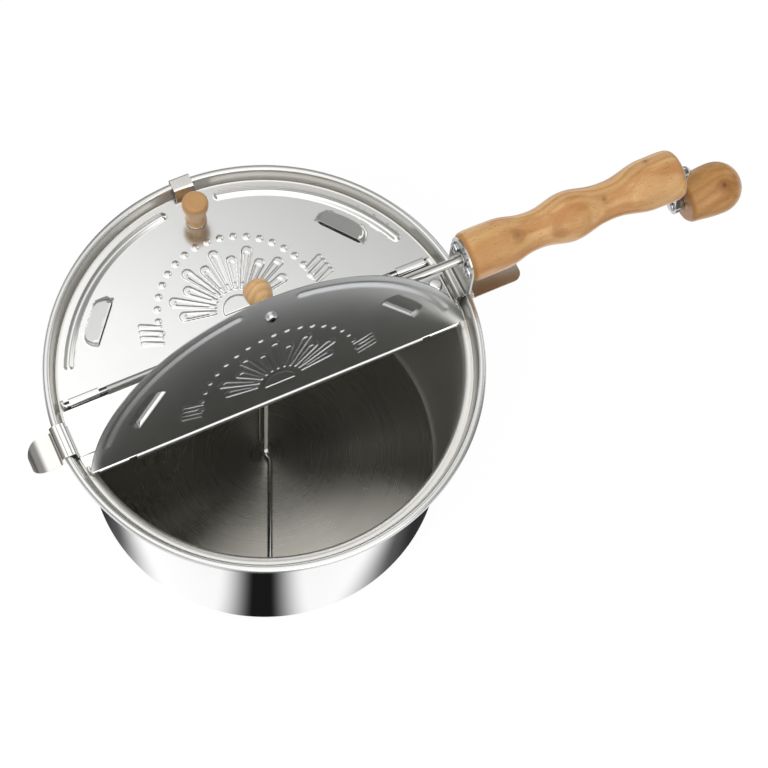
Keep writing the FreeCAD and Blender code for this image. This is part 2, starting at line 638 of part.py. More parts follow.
def make_crank_rod():
    """Round rod that turns down outside the handle and ends in a flattened eye."""
    path = [(V(ROD_START, 0, AXIS_Z), 0), (V(ARM_X, 0, AXIS_Z), 6.0), (V(ARM_X, 0, KNOB_Z + 6), 0)]
    bar = wire_along(path, ROD_RADIUS)
    eye = rod(V(ARM_X - EYE_HALF_THICK, 0, KNOB_Z), V(ARM_X + EYE_HALF_THICK, 0, KNOB_Z), EYE_RADIUS)
    neck_plan = face_in(in_yz(ARM_X - EYE_HALF_THICK),
                        [(-4.6, KNOB_Z + 3.1, 0), (4.6, KNOB_Z + 3.1, 0), (1.8, KNOB_Z + 13, 2),
                         (-1.8, KNOB_Z + 13, 2)])
    neck = neck_plan.extrude(V(2 * EYE_HALF_THICK, 0, 0))
    hole = rod(V(ARM_X - 5, 0, KNOB_Z), V(ARM_X + 5, 0, KNOB_Z), 1.9)
    return fused([bar, eye, neck]).cut(hole)


def make_rod_end_ring():
    start = BRACKET_WALLS[0] - BRACKET_SHEET - 1.2
    return sleeve(V(start, 0, AXIS_Z), V(start - 1.1, 0, AXIS_Z), 4.6, ROD_RADIUS + 0.01)


def make_knob_axle():
    """Shoulder pin riveted into the eye; the knob turns on it."""
    outline = [(ARM_X - 3.1, 0, 0), (ARM_X - 3.1, 3.4, 1.0), (ARM_X - EYE_HALF_THICK, 3.4, 0),
               (ARM_X - EYE_HALF_THICK, 1.88, 0), (ARM_X + EYE_HALF_THICK, 1.88, 0),
               (ARM_X + EYE_HALF_THICK, 3.7, 0), (KNOB_FACE - 0.4, 3.7, 0), (KNOB_FACE - 0.4, 2.5, 0),
               (292.0, 2.5, 0.6), (292.0, 0, 0)]
    section = face_in(lambda u, v: V(u, 0, KNOB_Z + v), outline)
    return section.revolve(V(0, 0, KNOB_Z), V(1, 0, 0), 360)


def make_knob_snap_ring():
    return sleeve(V(290.2, 0, KNOB_Z), V(291.3, 0, KNOB_Z), 4.3, 2.51)


def make_crank_knob():
    """Turned knob: flat face towards the arm, fuller towards its domed end."""
    outline = [(0, 12.3), (0.9, 13.2), (4.5, 14.1), (11, 14.9), (17, 15.5), (22, 15.7), (27, 15.0),
               (31.5, 12.9), (35, 9.6), (37.2, 5.4), (KNOB_END - KNOB_FACE, 1.2)]
    knob = turned(outline, V(KNOB_FACE, 0, KNOB_Z), V(1, 0, 0))
    knob = knob.cut(rod(V(KNOB_FACE - 1, 0, KNOB_Z), V(290.0, 0, KNOB_Z), 3.3))
    return knob.cut(rod(V(289.4, 0, KNOB_Z), V(295.0, 0, KNOB_Z), 4.8))


def make_knob_sleeve():
    return sleeve(V(KNOB_FACE + 0.2, 0, KNOB_Z), V(289.4, 0, KNOB_Z), 3.28, 2.57)


# ---------------------------------------------------------------- stirrer
EYE_Z = POT_SHEET + FLOOR_GAP + WIRE_RADIUS


def make_stirrer_shaft():
    """Upright shaft with a flattened foot that the stirring wire passes through."""
    top = AXIS_Z - 6.0
    shaft = rod(V(0, 0, EYE_Z - 1.4), V(0, 0, top), SHAFT_RADIUS)
    foot = rod(V(0, 0, EYE_Z - 1.7), V(0, 0, EYE_Z + 3.6), 3.0)
    return fused([shaft, foot]).cut(stirring_wire(WIRE_RADIUS + 0.02))


def stirring_wire(radius):
    """Wire along the floor: through the shaft's foot, kinked to one side, out to a turned-up end."""
    turn = math.radians(STIRRER_ANGLE)
    along = V(math.cos(turn), math.sin(turn), 0)
    beside = V(-along.y, along.x, 0)
    def spot(u, v, rise):
        return along * u + beside * v + V(0, 0, EYE_Z + rise)
    half = [(6.5, STIRRER_OFFSET, 0, 3.5), (STIRRER_REACH - 7, STIRRER_OFFSET, 0, 9.0),
            (STIRRER_REACH, STIRRER_OFFSET, 2.2, 0)]
    path = [(spot(-u, -v, rise), bend) for u, v, rise, bend in reversed(half)]
    path += [(spot(-3.2, 0, 0), 3.0), (spot(3.2, 0, 0), 3.0)]
    path += [(spot(u, v, rise), bend) for u, v, rise, bend in half]
    return wire_along(path, radius)


def make_shaft_ring():
    return sleeve(V(0, 0, SEAT_Z - 3.8), V(0, 0, SEAT_Z - 2.8), 4.6, SHAFT_RADIUS + 0.01)


# ---------------------------------------------------------------- build
rear_lid = make_rear_lid()
plain_knob = make_lid_knob(LID_TOP)
knob_screw = make_lid_knob_screw()
left_foot, left_clip = make_left_clip()
right_foot, right_clip = make_right_clip()

save("pot", make_pot())
save("crossbar", make_crossbar())
save("front_hinge_pin", make_hinge_pin(-1, -113.6, 0.9))
save("rear_hinge_pin", make_hinge_pin(1, -112.8, 0.0))
save("left_clip_foot", left_foot)
save("left_clip", left_clip)
save("right_clip_foot", right_foot)
save("right_clip", right_clip)
save("clip_rivets", make_clip_rivets())
save("handle_bracket", make_handle_bracket())
save("handle", make_handle())
save("handle_screws", make_handle_screws())
save("handle_inner_bush", make_handle_bush(HANDLE_START - BRACKET_SHEET, -1))
save("handle_outer_bush", make_handle_bush(HANDLE_END, 1))
save("gear_bracket", make_gear_bracket())
save("gear_bracket_rivets", make_gear_bracket_rivets())
save("bracket_bushes", make_bracket_bushes())
save("shaft_bush", make_shaft_bush())
save("rear_lid", rear_lid)
save("rear_knob", make_lid_knob(LID_TOP + STRAP_SHEET))
save("rear_knob_screw", knob_screw)
save("lid_latch", make_lid_latch())
save("front_lid", to_front(rear_lid))
save("front_knob", to_front(plain_knob))
save("front_knob_screw", to_front(knob_screw))
save("crank_rod", make_crank_rod())
save("drive_gear", make_drive_gear())
save("drive_gear_screw", make_drive_gear_screw())
save("rod_end_ring", make_rod_end_ring())
save("knob_axle", make_knob_axle())
save("knob_snap_ring", make_knob_snap_ring())
save("crank_knob", make_crank_knob())
save("knob_sleeve", make_knob_sleeve())
save("stirrer_shaft", make_stirrer_shaft())
save("stirrer_wire", stirring_wire(WIRE_RADIUS))
save("driven_gear", make_driven_gear())
save("driven_gear_screw", make_driven_gear_screw())
save("shaft_ring", make_shaft_ring())
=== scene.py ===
import math
import bmesh
import bpy
import numpy as np
from mathutils import Matrix, Vector
from mathutils.geometry import delaunay_2d_cdt


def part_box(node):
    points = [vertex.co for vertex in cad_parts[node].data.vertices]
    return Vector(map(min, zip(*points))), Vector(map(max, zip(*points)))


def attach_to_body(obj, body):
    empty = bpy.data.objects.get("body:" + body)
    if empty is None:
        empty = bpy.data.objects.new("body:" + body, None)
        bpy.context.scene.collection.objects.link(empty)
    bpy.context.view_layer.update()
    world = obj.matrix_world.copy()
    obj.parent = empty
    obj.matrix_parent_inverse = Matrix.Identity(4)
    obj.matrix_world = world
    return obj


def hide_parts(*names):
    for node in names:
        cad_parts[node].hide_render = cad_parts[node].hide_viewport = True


# Stovetop popcorn popper. Shapes are in millimetres until a mesh is made; Blender's objects, lamps and
# shaders are in metres.
# Origin: middle of the pot's base. +X along the handle, +Y to the rear lid, +Z up.

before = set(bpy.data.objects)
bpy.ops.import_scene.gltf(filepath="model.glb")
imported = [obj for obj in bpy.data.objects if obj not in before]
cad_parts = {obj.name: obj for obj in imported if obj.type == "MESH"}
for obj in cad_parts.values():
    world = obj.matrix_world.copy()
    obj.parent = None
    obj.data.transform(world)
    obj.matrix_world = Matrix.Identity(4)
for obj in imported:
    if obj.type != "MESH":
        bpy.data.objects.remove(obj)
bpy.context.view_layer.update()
MM = 0.001

# ---------------------------------------------------------------- sizes shared by several pieces
POT_HEIGHT = 147.7
RIM_RADIUS = 124.0
BASE_RADIUS = 108.1
BEAD_RADIUS = 2.1
BEAD_X = RIM_RADIUS - BEAD_RADIUS
COLLAR_RADIUS = 117.4
MOUTH_RADIUS = 111.8
BASE_BEND, MOUTH_BEND, COLLAR_BEND = 5.6, 4.0, 1.1
LEDGE_Z = 139.3
SHEET = 0.8

LID_RADIUS = 116.2
LID_SHEET = 0.7
SEAT_Z = 139.6
LID_TOP = SEAT_Z + LID_SHEET
BAR_TOP = SEAT_Z + 1.0
HINGE_Y = 21.0
HINGE_Z = 141.5
LONG_KNUCKLE_END = 87.0
LID_KNUCKLE_START = 91.5
LID_KNUCKLE_END = 109.0
KNUCKLE_RADIUS = 1.9
FRONT_LID_OPEN = math.radians(101.5)

AXIS_Z = 177.5
HANDLE_START = 120.6
HANDLE_END = 256.0
KNOB_Z = 132.0
KNOB_FACE = 270.0
LID_KNOB_Y = 99.5

CAMERA_TURN = (-32.71, 67.29, 8.22)         # azimuth, elevation and roll in degrees
CAMERA_AIM = (0.08760, 0.01169, 0)
CAMERA_DISTANCE = 1.27574


# ---------------------------------------------------------------- objects and meshes
def new_object(name, data):
    """An object at the origin, linked to the scene."""
    made = bpy.data.objects.new(name, data)
    bpy.context.scene.collection.objects.link(made)
    return made


def rework(mesh, change):
    """The mesh after a function has changed its bmesh."""
    work = bmesh.new()
    work.from_mesh(mesh)
    change(work)
    work.to_mesh(mesh)
    work.free()
    return mesh


def mesh_of(name, points, faces=(), outward=False):
    """A mesh from points in mm; outward turns its faces outwards."""
    mesh = bpy.data.meshes.new(name)
    mesh.from_pydata([tuple(c * MM for c in p) for p in points], [], faces)
    if outward:
        rework(mesh, lambda work: bmesh.ops.recalc_face_normals(work, faces=work.faces))
    return mesh


def band(count, row=0):
    """Faces between a closed row of count points and the next row."""
    low, high = row * count, (row + 1) * count
    return [(low + k, low + (k + 1) % count, high + (k + 1) % count, high + k) for k in range(count)]


def caps(count, last=1):
    """Faces that close the first and the last row of count points."""
    return [tuple(range(count))[::-1], tuple(range(last * count, (last + 1) * count))]


def make_camera():
    azimuth, elevation, roll = (math.radians(a) for a in CAMERA_TURN)
    back = Vector((math.sin(azimuth) * math.cos(elevation), -math.cos(azimuth) * math.cos(elevation),
                   math.sin(elevation)))
    level = Vector((math.cos(azimuth), math.sin(azimuth), 0))
    upright = back.cross(level)
    right = level * math.cos(roll) + upright * math.sin(roll)
    up = upright * math.cos(roll) - level * math.sin(roll)
    camera = new_object("camera", bpy.data.cameras.new("camera"))
    camera.data.lens, camera.data.sensor_width = 93.75, 36.0
    camera.data.clip_start, camera.data.clip_end = 0.05, 20
    place = Vector(CAMERA_AIM) + back * CAMERA_DISTANCE
    camera.matrix_world = Matrix.Translation(place) @ Matrix((right, up, back)).transposed().to_4x4()
    bpy.context.scene.camera = camera


make_camera()


# ---------------------------------------------------------------- shader maths
def maths(operation, swapped=False):
    """A method that adds one Math node."""
    def method(self, *others):
        values = (*others, self) if swapped else (self, *others)
        return self.recipe.node("ShaderNodeMath", {"operation": operation}, dict(enumerate(values)))
    return method


class Value:
    """A number on a shader socket; using it in an expression adds Math nodes."""

    def __init__(self, recipe, socket):
        self.recipe, self.socket = recipe, socket

    __add__, __radd__ = maths("ADD"), maths("ADD", True)
    __sub__, __rsub__ = maths("SUBTRACT"), maths("SUBTRACT", True)
    __mul__, __rmul__ = maths("MULTIPLY"), maths("MULTIPLY", True)
    __pow__ = maths("POWER")
    least, most = maths("MINIMUM"), maths("MAXIMUM")
    sine, root, size = maths("SINE"), maths("SQRT"), maths("ABSOLUTE")

    def ramp(self, low, high, start=0.0, end=1.0):
        """start below low, end above high, smooth between."""
        return self.recipe.node("ShaderNodeMapRange", {"interpolation_type": "SMOOTHSTEP"},
                                {"Value": self, "From Min": low, "From Max": high,
                                 "To Min": start, "To Max": end})


class Recipe:
    """Builds one node tree: a material, or the world."""

    def __init__(self, tree):
        self.tree = tree
        tree.nodes.clear()

    def node(self, kind, settings=None, inputs=None, out=0):
        """One node, with its settings, then the values or links of its sockets; gives one of its outputs."""
        made = self.tree.nodes.new(kind)
        for key, value in (settings or {}).items():
            setattr(made, key, value)
        for key, value in (inputs or {}).items():
            socket = made.inputs[key]
            if isinstance(value, (Value, bpy.types.NodeSocket)):
                self.tree.links.new(value.socket if isinstance(value, Value) else value, socket)
            else:
                socket.default_value = (*value, 1) if socket.type == "RGBA" else value
        if made.outputs:
            socket = made.outputs[out]
            return Value(self, socket) if socket.type == "VALUE" else socket

    def place(self, name="Object"):
        return self.node("ShaderNodeTexCoord", out=name)

    def parts(self, vector):
        return [self.node("ShaderNodeSeparateXYZ", inputs={0: vector}, out=i) for i in range(3)]

    def rays(self, kind):
        """1 for rays of one kind, such as Camera or Glossy, otherwise 0."""
        return self.node("ShaderNodeLightPath", out=f"Is {kind} Ray")

    def vector(self, x, y, z):
        return self.node("ShaderNodeCombineXYZ", inputs={"X": x, "Y": y, "Z": z})

    def noise(self, vector, scale, detail=2.0, rough=0.5, distortion=0.0):
        return self.node("ShaderNodeTexNoise", inputs={"Vector": vector, "Scale": scale, "Detail": detail,
                                                       "Roughness": rough, "Distortion": distortion})

    def mix(self, factor, first, second):
        """Blend two colours; each is a colour or a link."""
        return self.node("ShaderNodeMix", {"data_type": "RGBA"}, {0: factor, 6: first, 7: second}, out=2)

    def bump(self, height):
        """Normal from a height in mm."""
        return self.node("ShaderNodeBump", inputs={"Height": height, "Distance": MM, "Strength": 1.0})

    def surface(self, **inputs):
        """Principled surface; names use _ for spaces."""
        named = {key.replace("_", " "): value for key, value in inputs.items()}
        self.output(self.node("ShaderNodeBsdfPrincipled", inputs=named))

    def output(self, shader, kind="ShaderNodeOutputMaterial"):
        self.node(kind, inputs={"Surface": shader})


def material(name):
    made = bpy.data.materials.new(name)
    made.use_nodes = True
    return made, Recipe(made.node_tree)


def dim(colour, share):
    return tuple(c * share for c in colour)


def between(first, second, share):
    return tuple(a + (b - a) * share for a, b in zip(first, second))


# ---------------------------------------------------------------- metals
def steel(name, colour, rough, spread=0.05, grain=None, lines=0.0, haze=0.0, anisotropic=0.0, waves=0.0,
          metallic=1.0, bands=0.0, painted_shade_middle=0.0):
    """Bare or plated steel. grain is the direction of its fine lines: "ring" runs round the pot's axis,
    "x" or "y" along an axis. lines is the depth of the lines in mm, waves a slow unevenness in mm,
    bands the strength of broad turning marks, and the last argument how much painted shade darkens the
    pot's middle."""
    made, r = material(name)
    here = r.place()
    x, y, z = r.parts(here)
    radius = (x * x + y * y).root()
    if grain == "ring":
        fine = r.noise(r.vector(radius * 1400.0, z * 1400.0, 0.0), 1.0, 3.0)
        coarse = r.noise(r.vector(radius * 160.0, z * 160.0, 0.0), 1.0, 2.0)
    else:
        sx, sy, sz = {"x": (60.0, 2400.0, 2400.0), "y": (2400.0, 60.0, 2400.0), None: (900.0,) * 3}[grain]
        fine = r.noise(r.vector(x * sx, y * sy, z * sz), 1.0, 3.0)
        coarse = r.noise(here, 90.0, 2.0)
    cloud = r.noise(here, 24.0, 3.0, 0.6)
    smudge = r.noise(here, 7.0, 4.0, 0.65, 0.6).ramp(0.5, 0.72)
    roughness = rough + (fine - 0.5) * spread + (coarse - 0.5) * spread * 0.7 + smudge * haze
    patches = (cloud - 0.5) * 0.10 + (fine - 0.5) * 0.06 + (coarse - 0.5) * bands
    shade = (0.94 - bands * 0.2 + patches).least(1.0)
    tone = r.mix(shade, dim(colour, 0.55), colour)
    # Painted shade: the colour darkens towards the middle of the floor, standing in for its dark reflection.
    if painted_shade_middle:
        tone = r.mix(radius.ramp(0.026, 0.064, painted_shade_middle, 0.0), tone, dim(colour, 0.3))
    height = fine * lines
    if waves:
        height = height + r.noise(here, 14.0, 1.0) * waves
    inputs = {"Base_Color": tone, "Metallic": metallic, "Roughness": roughness, "Anisotropic": anisotropic,
              "Anisotropic_Rotation": 0.25}
    if lines or waves:
        inputs["Normal"] = r.bump(height)
    r.surface(**inputs)
    return made


def brass(name, colour, rough):
    made, r = material(name)
    here = r.place()
    dull = r.noise(here, 180.0, 3.0, 0.6)
    edge = r.noise(here, 1200.0, 2.0)
    r.surface(Base_Color=r.mix(dull.ramp(0.4, 0.7), colour, dim(colour, 0.7)), Metallic=1.0,
              Roughness=rough + (dull - 0.5) * 0.2, Normal=r.bump(edge * 0.01))
    return made


# ---------------------------------------------------------------- wood
def turned_wood(name, pale, deep, dark, along, ring_centre, knots, ends, dashes=()):
    """Turned and lacquered wood. along is the grain's axis ("x" or "z"), ring_centre a point in mm on the
    tree's heart, knots a list of (place in mm, radius in mm), ends the places of its end faces, dashes the
    places of dark flecks."""
    made, r = material(name)
    x, y, z = r.parts(r.place())
    x, y, z = x * 1000.0 - ring_centre[0], y * 1000.0 - ring_centre[1], z * 1000.0 - ring_centre[2]
    run, side, rise = (x, y, z) if along == "x" else (z, x, y)

    def away(place, along_grain=1.0):
        px, py, pz = (p - c for p, c in zip(place, ring_centre))
        return ((x - px) * (x - px) * along_grain + (y - py) * (y - py) + (z - pz) * (z - pz)).root()

    def figure(lengthways, across, *settings):
        return r.noise(r.vector(run * lengthways, side * across, rise * across), 1.0, *settings)

    end_grain = 0.0
    for place in ends:
        from_end = (run - (place - ring_centre[0 if along == "x" else 2])).size()
        end_grain = end_grain + from_end.ramp(0.8, 3.4, 1.0, 0.0)
    wander = figure(0.012, 0.05)
    swirl = (side * side + rise * rise).root() + (wander - 0.5) * 9.0
    swell, knot_core, knot_rim = 0.0, 0.0, 0.0
    for place, size in knots:
        swell = swell + away(place).ramp(0.0, size * 4.0, size * 1.6, 0.0)
        knot_core = knot_core + away(place).ramp(size * 0.45, size * 1.1, 1.0, 0.0)
        knot_rim = knot_rim + away(place).ramp(size * 0.8, size * 3.6, 0.75, 0.0)
    swirl = swirl + swell
    rings = ((swirl * 1.55).sine() * 0.5 + 0.5) ** 1.6
    bands = r.noise(r.vector(swirl * 0.42, run * 0.004, 0.0), 1.0, 3.0, 0.6)
    fibre = figure(0.14, 3.2, 4.0, 0.65)
    fleck = figure(0.32, 2.1, 2.0, 0.5, 0.3).ramp(0.64, 0.74)
    for place in dashes:
        fleck = fleck.most(away(place, 0.08).ramp(0.30, 0.75, 1.0, 0.0))
    mottle = figure(0.035, 0.10, 3.0)
    tone = r.mix(rings * 0.38 + bands.ramp(0.3, 0.7) * 0.5, pale, deep)
    tone = r.mix(fibre.ramp(0.38, 0.75) * 0.55, tone, deep)
    shadow = (deep[0] * 0.95, deep[1] * 0.82, deep[2] * 0.70)
    tone = r.mix(mottle.ramp(0.46, 0.66) * 0.62, tone, shadow)
    tone = r.mix(fleck * 0.75, tone, dark)
    tone = r.mix(end_grain * 0.8, tone, between(deep, dark, 0.2))
    if knots:
        tone = r.mix(knot_rim.least(0.8), tone, between(deep, dark, 0.5))
        tone = r.mix(knot_core.least(0.9), tone, dark)
    pores = figure(0.5, 7.0)
    height = pores * 0.02 - fleck * 0.02 + rings * 0.01
    r.surface(Base_Color=tone, Roughness=0.42 + (fibre - 0.5) * 0.18, Normal=r.bump(height),
              Coat_Weight=0.3, Coat_Roughness=0.16, Coat_IOR=1.45, Specular_IOR_Level=0.3)
    return made


BRIGHT, WARM = (0.64, 0.64, 0.63), (0.64, 0.625, 0.59)
STEEL = {
    "outside": steel("pot_outside", (0.64, 0.64, 0.64), 0.035, 0.02, "ring", 0.002, 0.02, waves=0.01),
    # The floor's colour is painted darker in its middle: painted shade.
    "floor": steel("pot_floor", (0.52, 0.50, 0.45), 0.27, 0.03, "ring", 0.001, 0.03, anisotropic=0.93,
                   metallic=0.92, bands=0.36, painted_shade_middle=0.55),
    "wall": steel("pot_wall", (0.50, 0.49, 0.44), 0.32, 0.04, "ring", 0.001, 0.03, anisotropic=0.6,
                  metallic=0.60),
    "ledge": steel("pot_ledge", (0.68, 0.665, 0.625), 0.30, 0.10, "ring", 0.006, 0.04, anisotropic=0.3,
                   metallic=0.86),
    "bead": steel("pot_bead", (0.59, 0.59, 0.58), 0.22, 0.06, "ring", 0.003, 0.02, metallic=0.88),
    "lid": steel("lid_sheet", BRIGHT, 0.19, 0.05, "x", 0.002, 0.05, waves=0.008),
    "lid_under": steel("lid_underside", (0.65, 0.665, 0.685), 0.24, 0.05, "y", 0.003, 0.04, metallic=0.96),
    "bar": steel("bar_sheet", BRIGHT, 0.13, 0.06, "x", 0.003, 0.05),
    # The rolled edge is the bar's own sheet painted darker than the bar: painted shade.
    "curl": steel("rolled_edge_painted_shade", (0.47, 0.47, 0.46), 0.34, 0.06, "x", 0.003, 0.04),
    "strap": steel("strap_sheet", WARM, 0.20, 0.10, "y", 0.006, 0.04),
    # The crank rod's steel is the wire's steel painted darker: a painted dark reflection.
    "rod": steel("crank_rod_painted_reflection", (0.43, 0.42, 0.40), 0.13, 0.06, None, 0.004, 0.04),
    # The right clip is the strap's spring steel painted darker and browner: painted reflection of the wooden
    # grip above it, and painted shade under the grip.
    "shade": steel("right_clip_painted_reflection", (0.46, 0.44, 0.41), 0.24, 0.10, "y", 0.003, 0.04),
    # The brackets are bright steel painted darker: a painted dark reflection.
    "bracket": steel("bracket_painted_reflection", (0.44, 0.435, 0.41), 0.22, 0.10, None, 0.01, 0.10),
    "wire": steel("drawn_wire", BRIGHT, 0.10, 0.05, None, 0.002, 0.03),
    "rivet": steel("rivet_head", (0.72, 0.72, 0.71), 0.22, 0.08, None, 0.006, 0.04),
    "screw": steel("screw_steel", (0.60, 0.60, 0.61), 0.18, 0.08, None, 0.004, 0.05),
    "gear": steel("gear_steel", (0.40, 0.40, 0.41), 0.34, 0.14, None, 0.015, 0.10),
}
BRASS = brass("bush_brass", (0.72, 0.53, 0.25), 0.24)

HANDLE_TONES = (0.78, 0.49, 0.22), (0.48, 0.225, 0.065), (0.20, 0.065, 0.016)
KNOB_TONES = (0.74, 0.49, 0.25), (0.52, 0.29, 0.11), (0.28, 0.12, 0.04)
CRANK_KNOB_TONES = (0.56, 0.30, 0.092), (0.38, 0.165, 0.04), (0.18, 0.055, 0.015)
HANDLE_KNOTS = [((151, -4.6, 191.5), 1.9), ((174, -13, 186.5), 2.4), ((206, -3, 189), 0.9),
                ((238, 9, 190), 0.9)]
HANDLE_DASHES = [(135.2, 6.3, 191.6), (138.0, 4.9, 191.8), (126.5, 7.5, 191.6), (134.7, -9.6, 191.2),
                 (136.5, -15.6, 186.6), (139.2, -15.2, 186.9)]
WOOD = {
    "handle": turned_wood("handle_wood", *HANDLE_TONES, "x", (190, 22, 150), HANDLE_KNOTS,
                          (HANDLE_START, HANDLE_END), HANDLE_DASHES),
    "knob": turned_wood("knob_wood", *KNOB_TONES, "z", (1.0, 99.0, 150), [], (LID_TOP + 22.8,)),
    "front_knob": turned_wood("front_knob_wood", *KNOB_TONES, "z", (1.0, -5.0, 150), [], ()),
    "crank_knob": turned_wood("crank_knob_wood", *CRANK_KNOB_TONES, "x", (285, 4, 140),
                              [((292, -6, 146), 1.8)], (KNOB_FACE,)),
}


# ---------------------------------------------------------------- pieces and outlines
def attach(piece, body, node):
    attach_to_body(piece, body)
    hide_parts(node)
    return piece


def add_piece(name, points, faces, finishes, body, node, face_finish=None):
    """A finished mesh piece from points in mm, riding on body and standing for the node."""
    mesh = mesh_of(name, points, [tuple(int(i) for i in f) for f in faces])
    for finish in finishes:
        mesh.materials.append(finish)
    if face_finish:
        mesh.polygons.foreach_set("material_index", face_finish)
    mesh.polygons.foreach_set("use_smooth", [True] * len(mesh.polygons))
    mesh.update()
    return attach(new_object(name, mesh), body, node)


def rounded(corners, turn_step=9.0, closed=False):
    """Points along 2-D corners (u, v, radius), each corner rounded."""
    out, count = [], len(corners)
    for i, (u, v, radius) in enumerate(corners):
        here = Vector((u, v))
        if radius <= 0 or (not closed and i in (0, count - 1)):
            out.append(here)
            continue
        back = (Vector(corners[i - 1][:2]) - here).normalized()
        ahead = (Vector(corners[(i + 1) % count][:2]) - here).normalized()
        half = back.angle(ahead) / 2
        middle = here + (back + ahead).normalized() * (radius / math.sin(half))
        first = here + back * (radius / math.tan(half)) - middle
        sweep = math.pi - 2 * half
        side = 1 if back.x * ahead.y - back.y * ahead.x < 0 else -1
        steps = max(2, math.ceil(math.degrees(sweep) / turn_step))
        for k in range(steps + 1):
            angle = side * sweep * k / steps
            out.append(middle + Vector((first.x * math.cos(angle) - first.y * math.sin(angle),
                                        first.x * math.sin(angle) + first.y * math.cos(angle))))
    return out


def sheet_loop(path, thickness, edge=0.25):
    """Closed outline of sheet around a middle line of 2-D points, its two ends slightly rounded."""
    normals = []
    for i in range(len(path)):
        along = (path[min(i + 1, len(path) - 1)] - path[max(i - 1, 0)]).normalized()
        normals.append(Vector((-along.y, along.x)))
    half = thickness / 2
    left = [p + n * half for p, n in zip(path, normals)]
    right = [p - n * half for p, n in zip(path, normals)]
    start = (path[0] - path[1]).normalized()
    end = (path[-1] - path[-2]).normalized()
    reach = min(edge, half)
    left[0], right[0] = left[0] - start * reach, right[0] - start * reach
    left[-1], right[-1] = left[-1] - end * reach, right[-1] - end * reach
    cap_start = [path[0] - normals[0] * (half - reach), path[0] + normals[0] * (half - reach)]
    cap_end = [path[-1] + normals[-1] * (half - reach), path[-1] - normals[-1] * (half - reach)]
    return cap_start + left + cap_end + right[::-1]


def circle(radius, height, steps):
    return [(radius * math.cos(2 * math.pi * k / steps), radius * math.sin(2 * math.pi * k / steps), height)
            for k in range(steps)]


def turn(loop, steps):
    """Revolve 2-D points (radius, height) about Z; radius 0 makes one point. owner is each face's place in
    the loop."""
    points, rows = [], []
    for radius, height in loop:
        if radius < 1e-6:
            rows.append([len(points)] * steps)
            points.append((0, 0, height))
        else:
            rows.append(list(range(len(points), len(points) + steps)))
            points += circle(radius, height, steps)
    faces, owner = [], []
    for i in range(len(loop)):
        a, b = rows[i], rows[(i + 1) % len(loop)]
        for k in range(steps):
            face = [a[k], a[(k + 1) % steps], b[(k + 1) % steps], b[k]]
            face = [p for j, p in enumerate(face) if p not in face[:j]]
            if len(face) > 2:
                faces.append(face)
                owner.append(i)
    return points, faces, owner


# ---------------------------------------------------------------- pot
def pot_outline():
    """The sheet's closed outline in (radius, height), and how many of its points come before the outside."""
    middle = SHEET / 2
    ledge, roll, rim_in = LEDGE_Z - middle, BEAD_RADIUS - middle, RIM_RADIUS - 2 * BEAD_RADIUS + middle
    rim_out, rim_top = RIM_RADIUS - middle, POT_HEIGHT - middle
    rim_low = rim_top - 2 * roll
    path = rounded([(0, middle, 0), (BASE_RADIUS - middle, middle, BASE_BEND),
                    (MOUTH_RADIUS + middle, ledge, MOUTH_BEND), (COLLAR_RADIUS + middle, ledge, COLLAR_BEND),
                    (rim_in, rim_top, roll), (rim_out, rim_top, roll), (rim_out, rim_low, roll),
                    (BEAD_X - 0.4, rim_low, 0)], 6.0)
    floor_rings = [Vector((radius, middle)) for radius in (20, 40, 60, 80)]
    path[1:1] = floor_rings
    loop = sheet_loop(path, SHEET, 0.2)
    return [(0.0, 0.0), (0.0, SHEET)] + [(p.x, p.y) for p in loop if p.x > 1.0], len(path) + 3


def add_pot():
    """The turned sheet, with its own finish outside, inside, on the ledge and on the rolled rim."""
    outline, inner_count = pot_outline()
    points, faces, owner = turn(outline, 320)
    names = ("outside", "floor", "ledge", "bead", "wall")
    finish = []
    for i in owner:
        (ra, za), (rb, zb) = outline[i], outline[(i + 1) % len(outline)]
        radius, height = (ra + rb) / 2, (za + zb) / 2
        if radius > BEAD_X - 1.4 and height > LEDGE_Z + 0.5:
            part = "bead"
        elif i > inner_count:
            part = "outside"
        elif height > LEDGE_Z - 1.6:
            part = "ledge"
        else:
            part = "floor" if radius < BASE_RADIUS - 3.0 else "wall"
        finish.append(names.index(part))
    add_piece("popper_pot", points, faces, [STEEL[part] for part in names], "pot", "pot", finish)


# ---------------------------------------------------------------- turned wood
def spline(profile, spacing):
    """Points of a smooth natural cubic curve through (distance, radius) pairs."""
    places = np.array(profile, float)
    t = np.concatenate([[0], np.cumsum(np.hypot(*np.diff(places, axis=0).T))])
    n = len(t)
    h = np.diff(t)
    system, goal = np.zeros((n, n)), np.zeros((n, 2))
    system[0, 0] = system[-1, -1] = 1
    for i in range(1, n - 1):
        system[i, i - 1:i + 2] = h[i - 1], 2 * (h[i - 1] + h[i]), h[i]
        goal[i] = 6 * ((places[i + 1] - places[i]) / h[i] - (places[i] - places[i - 1]) / h[i - 1])
    curve = np.linalg.solve(system, goal)
    s = np.linspace(0, t[-1], int(t[-1] / spacing) + 2)
    k = np.clip(np.searchsorted(t, s, side="right") - 1, 0, n - 2)
    a, b = (t[k + 1] - s)[:, None], (s - t[k])[:, None]
    hk = h[k][:, None]
    return ((curve[k] * a ** 3 + curve[k + 1] * b ** 3) / (6 * hk)
            + (places[k] / hk - curve[k] * hk / 6) * a + (places[k + 1] / hk - curve[k + 1] * hk / 6) * b)


